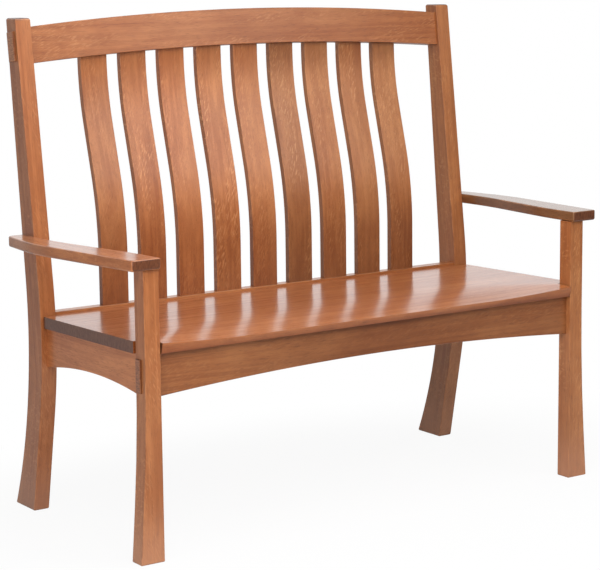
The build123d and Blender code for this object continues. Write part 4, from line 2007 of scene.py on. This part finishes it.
@dataclass(frozen=True)
class Studio:
    """The floor, the white surroundings, the lamps and the camera.

    Attributes:
        lamps: The lamps.
        floor_radius: Radius of the round floor.
        floor_sides: How many sides its rim has.
        floor_colour: Its colour.
        floor_grit: Colour of its faint specks.
        floor_oval: How much a distance on the floor counts along and across the settle.
        floor_fade: Distances between which the floor turns to plain white.
        floor_share: Share of plain white in the floor, beside the settle and away from it.
        floor_mirrored: How bright the floor looks in a surface, beside the settle and far from it.
        floor_mirrored_fade: Distances between which that brightness changes.
        floor_behind: Places between which the floor behind the settle looks brighter in a surface.
        sky: How much light the surroundings give at the horizon and overhead.
        backdrop: Towards the middle of the white backdrop.
        backdrop_edge: How far a direction agrees with that at the backdrop's edge and well inside it.
        mirrored: How bright the surroundings look in a surface, away from the backdrop and towards it.
        mirrored_behind: How bright they look away from the backdrop, but behind the settle.
        behind_edge: How far back a direction points where that starts and where it is full.
        camera_place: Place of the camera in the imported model's frame.
        yaw: How far the camera is turned from the settle's depth.
        pitch: How far it looks down.
        roll: How far it is turned about its own line of sight.
        focal_pixels: Its focal length in pixels of the picture.
        picture_width: Width of the picture in pixels.
        sensor_width: Width of the camera's sensor in millimetres.
    """

    lamps: tuple[Lamp, ...] = (
        Lamp("key", (-1.1, -1.9, 2.2), 1.4, 35.0),
        Lamp("top", (0.0, -0.8, 2.6), 1.4, 29.0),
        Lamp("window", (1.65, -2.4, 1.8), 1.2, 7.5),
        Lamp("high_window", (1.3, -2.4, 2.3), 1.2, 9.0),
        Lamp("left", (-2.5, -1.3, 0.8), 1.0, 15.0),
        Lamp("floor", (-0.6, -1.5, 1.2), 1.3, 9.0, aim=(-0.6, -1.5, 0.0)),
        Lamp("right", (3.0, 0.6, 1.2), 1.4, 16.0, mirrored=False),
        Lamp("behind", (0.8, 3.0, 1.4), 1.4, 18.0, mirrored=False),
    )
    floor_radius: float = 12.0
    floor_sides: int = 96
    floor_colour: Colour = (230, 230, 230)
    floor_grit: Colour = (224, 224, 224)
    floor_oval: Place = (0.75, 1.3, 1.0)
    floor_fade: Pair = (0.5, 1.1)
    floor_share: Pair = (0.93, 1.0)
    floor_mirrored: Pair = (0.5, 0.08)
    floor_mirrored_fade: Pair = (1.5, 4.5)
    floor_behind: Pair = (0.0, 2.0)
    sky: Pair = (0.08, 0.10)
    backdrop: Place = (0.50, 0.80, 0.33)
    backdrop_edge: Pair = (0.45, 0.8)
    mirrored: Pair = (0.12, 1.0)
    mirrored_behind: float = 0.45
    behind_edge: Pair = (0.2, 0.7)
    camera_place: Place = (-2.68444, -3.91731, 1.30632)
    yaw: float = -0.598741
    pitch: float = 0.167761
    roll: float = -0.010720
    focal_pixels: float = 2020.13
    picture_width: int = 600
    sensor_width: float = 36.0

    def build(self) -> None:
        """Build the floor, the surroundings, the lamps and the camera."""
        self.floor()
        self.surroundings()
        for lamp in self.lamps:
            lamp.hang()
        self.camera()
        bpy.context.scene.view_settings.view_transform = "Standard"

    def floor(self) -> None:
        """Lay a pale round floor that fades to white away from the settle."""
        disc = bmesh.new()
        bmesh.ops.create_circle(disc, cap_ends=True, segments=self.floor_sides, radius=self.floor_radius)
        floor = as_object(disc, "floor")
        material = bpy.data.materials.new("pale_floor")
        kit = NodeKit.of(material)
        place, path = kit.place(), kit.add("ShaderNodeLightPath").outputs
        oval = kit.scaled(place, self.floor_oval)
        reach = kit.add("ShaderNodeVectorMath", {0: oval}, operation="LENGTH").outputs["Value"]
        grit = kit.fade(kit.noise(place, (35.0, 35.0, 35.0), detail=3.0), 0.3, 0.7, 0.0, 0.3)
        colour = kit.mix(grit, linear(self.floor_colour), linear(self.floor_grit))
        near, far = self.floor_mirrored
        far = kit.fade(kit.split(place)["Y"], *self.floor_behind, far, self.mirrored_behind)
        mirrored_light = kit.fade(reach, *self.floor_mirrored_fade, near, far)
        light = kit.between(path["Is Glossy Ray"], 1.0, mirrored_light)
        seen = kit.math("MAXIMUM", path["Is Camera Ray"], path["Is Glossy Ray"])
        blend = kit.add("ShaderNodeMixShader", {
            0: kit.times(kit.fade(reach, *self.floor_fade, *self.floor_share), seen),
            1: kit.add("ShaderNodeBsdfDiffuse", {"Color": colour}).outputs[0],
            2: kit.add("ShaderNodeEmission", {"Strength": light}).outputs[0],
        })
        kit.add("ShaderNodeOutputMaterial", {"Surface": blend.outputs[0]})
        floor.data.materials.append(material)
        log.info("floor: radius %.1f m", self.floor_radius)

    def surroundings(self) -> None:
        """Surround the settle with white that lights it dimly and is mirrored brightest behind it."""
        world = bpy.data.worlds.new("white_surround")
        kit = NodeKit.of(world)
        path, direction = kit.add("ShaderNodeLightPath").outputs, kit.place("Generated")
        parts = kit.split(direction)
        facing = kit.add("ShaderNodeVectorMath", {0: direction, 1: self.backdrop}, operation="DOT_PRODUCT")
        away, towards = self.mirrored
        away = kit.fade(parts["Y"], *self.behind_edge, away, self.mirrored_behind)
        mirrored_light = kit.fade(facing.outputs["Value"], *self.backdrop_edge, away, towards)
        light = kit.fade(parts["Z"], 0.0, 1.0, *self.sky)
        strength = kit.between(path["Is Glossy Ray"], light, mirrored_light)
        seen = kit.math("MAXIMUM", path["Is Camera Ray"], path["Is Transmission Ray"])
        white = {"Strength": kit.between(seen, strength, 1.0), "Color": (1.0, 1.0, 1.0, 1.0)}
        background = kit.add("ShaderNodeBackground", white)
        kit.add("ShaderNodeOutputWorld", {"Surface": background.outputs[0]})
        bpy.context.scene.world = world

    def camera(self) -> None:
        """Stand the camera where the photograph was taken."""
        right = Vector((math.cos(self.yaw), math.sin(self.yaw), 0.0))
        ahead = Vector((
            -math.sin(self.yaw) * math.cos(self.pitch), math.cos(self.yaw) * math.cos(self.pitch),
            -math.sin(self.pitch),
        ))
        up = right.cross(ahead)
        cos, sin = math.cos(self.roll), math.sin(self.roll)
        across, rise = right * cos + up * sin, up * cos - right * sin
        turn = Matrix((across, rise, -ahead)).transposed().to_4x4()
        lens = bpy.data.cameras.new("camera")
        lens.sensor_width = self.sensor_width
        lens.lens = self.focal_pixels * self.sensor_width / self.picture_width
        camera = placed("camera", lens)
        camera.matrix_world = Matrix.Translation(self.camera_place) @ turn
        bpy.context.scene.camera = camera
        log.info("camera: %.1f mm lens", lens.lens)


class Settle:
    """The whole settle, dressed."""

    frame_finish = StainedOak()
    crest_finish = StainedOak("crest_oak", end_pale=(196, 132, 90), end_deep=(156, 100, 66))
    apron_finish = StainedOak("apron_oak", end_pale=(164, 104, 70), end_deep=(122, 76, 52))
    broad_finish = StainedOak("glossy_oak", gloss=0.19, coat=1.0, sheen=0.08)
    block_finish = HiddenWood("oak_under_seat", (176, 112, 68), (140, 80, 44), "stained_oak")

    def __init__(self, nodes: dict[str, bpy.types.Object]) -> None:
        """Take up the CAD nodes by name."""
        self.nodes = nodes
        self.shop = Workshop()

    def build(self) -> None:
        """Build the sub-assemblies in order and dress the nodes that stay."""
        layout, shop = Layout(), self.shop
        lower, crest = LowerRail(layout), CrestRail(layout)
        posts, apron = BackPosts(layout), FrontApron(layout)
        slats = Slats(layout, lower.top, crest)
        FrontLegs(layout).build(shop, self.frame_finish, apron.mortise)
        posts.build(shop, self.frame_finish, crest.mortise)
        slats.build(shop, self.frame_finish)
        crest.build(shop, self.crest_finish, slats.slots())
        lower.build(shop, self.frame_finish, slats.slots())
        apron.build(shop, self.apron_finish)
        SideAprons(layout, posts).build(shop, self.frame_finish)
        Seat(layout).build(shop, self.broad_finish)
        Arms(layout).build(shop, self.broad_finish)
        self.dress_hidden()

    def dress_hidden(self) -> None:
        """Dress the CAD nodes under the seat and inside the joints."""
        under_seat = sorted(name for name in self.nodes if name.startswith(("corner_block", "seat_bearer")))
        self.shop.dress(self.nodes, under_seat, self.block_finish)
        self.shop.dress(self.nodes, ["arm_loose_tenons"], HiddenWood())
        self.shop.dress(self.nodes, ["seat_screws"], ZincedSteel())


def main() -> None:
    """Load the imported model, dress it and set it in the studio."""
    logging.basicConfig(level=logging.INFO, format="%(name)s %(message)s")
    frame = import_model()
    Studio().build()
    Settle(frame["nodes"]).build()


if __name__ == "__main__":
    main()
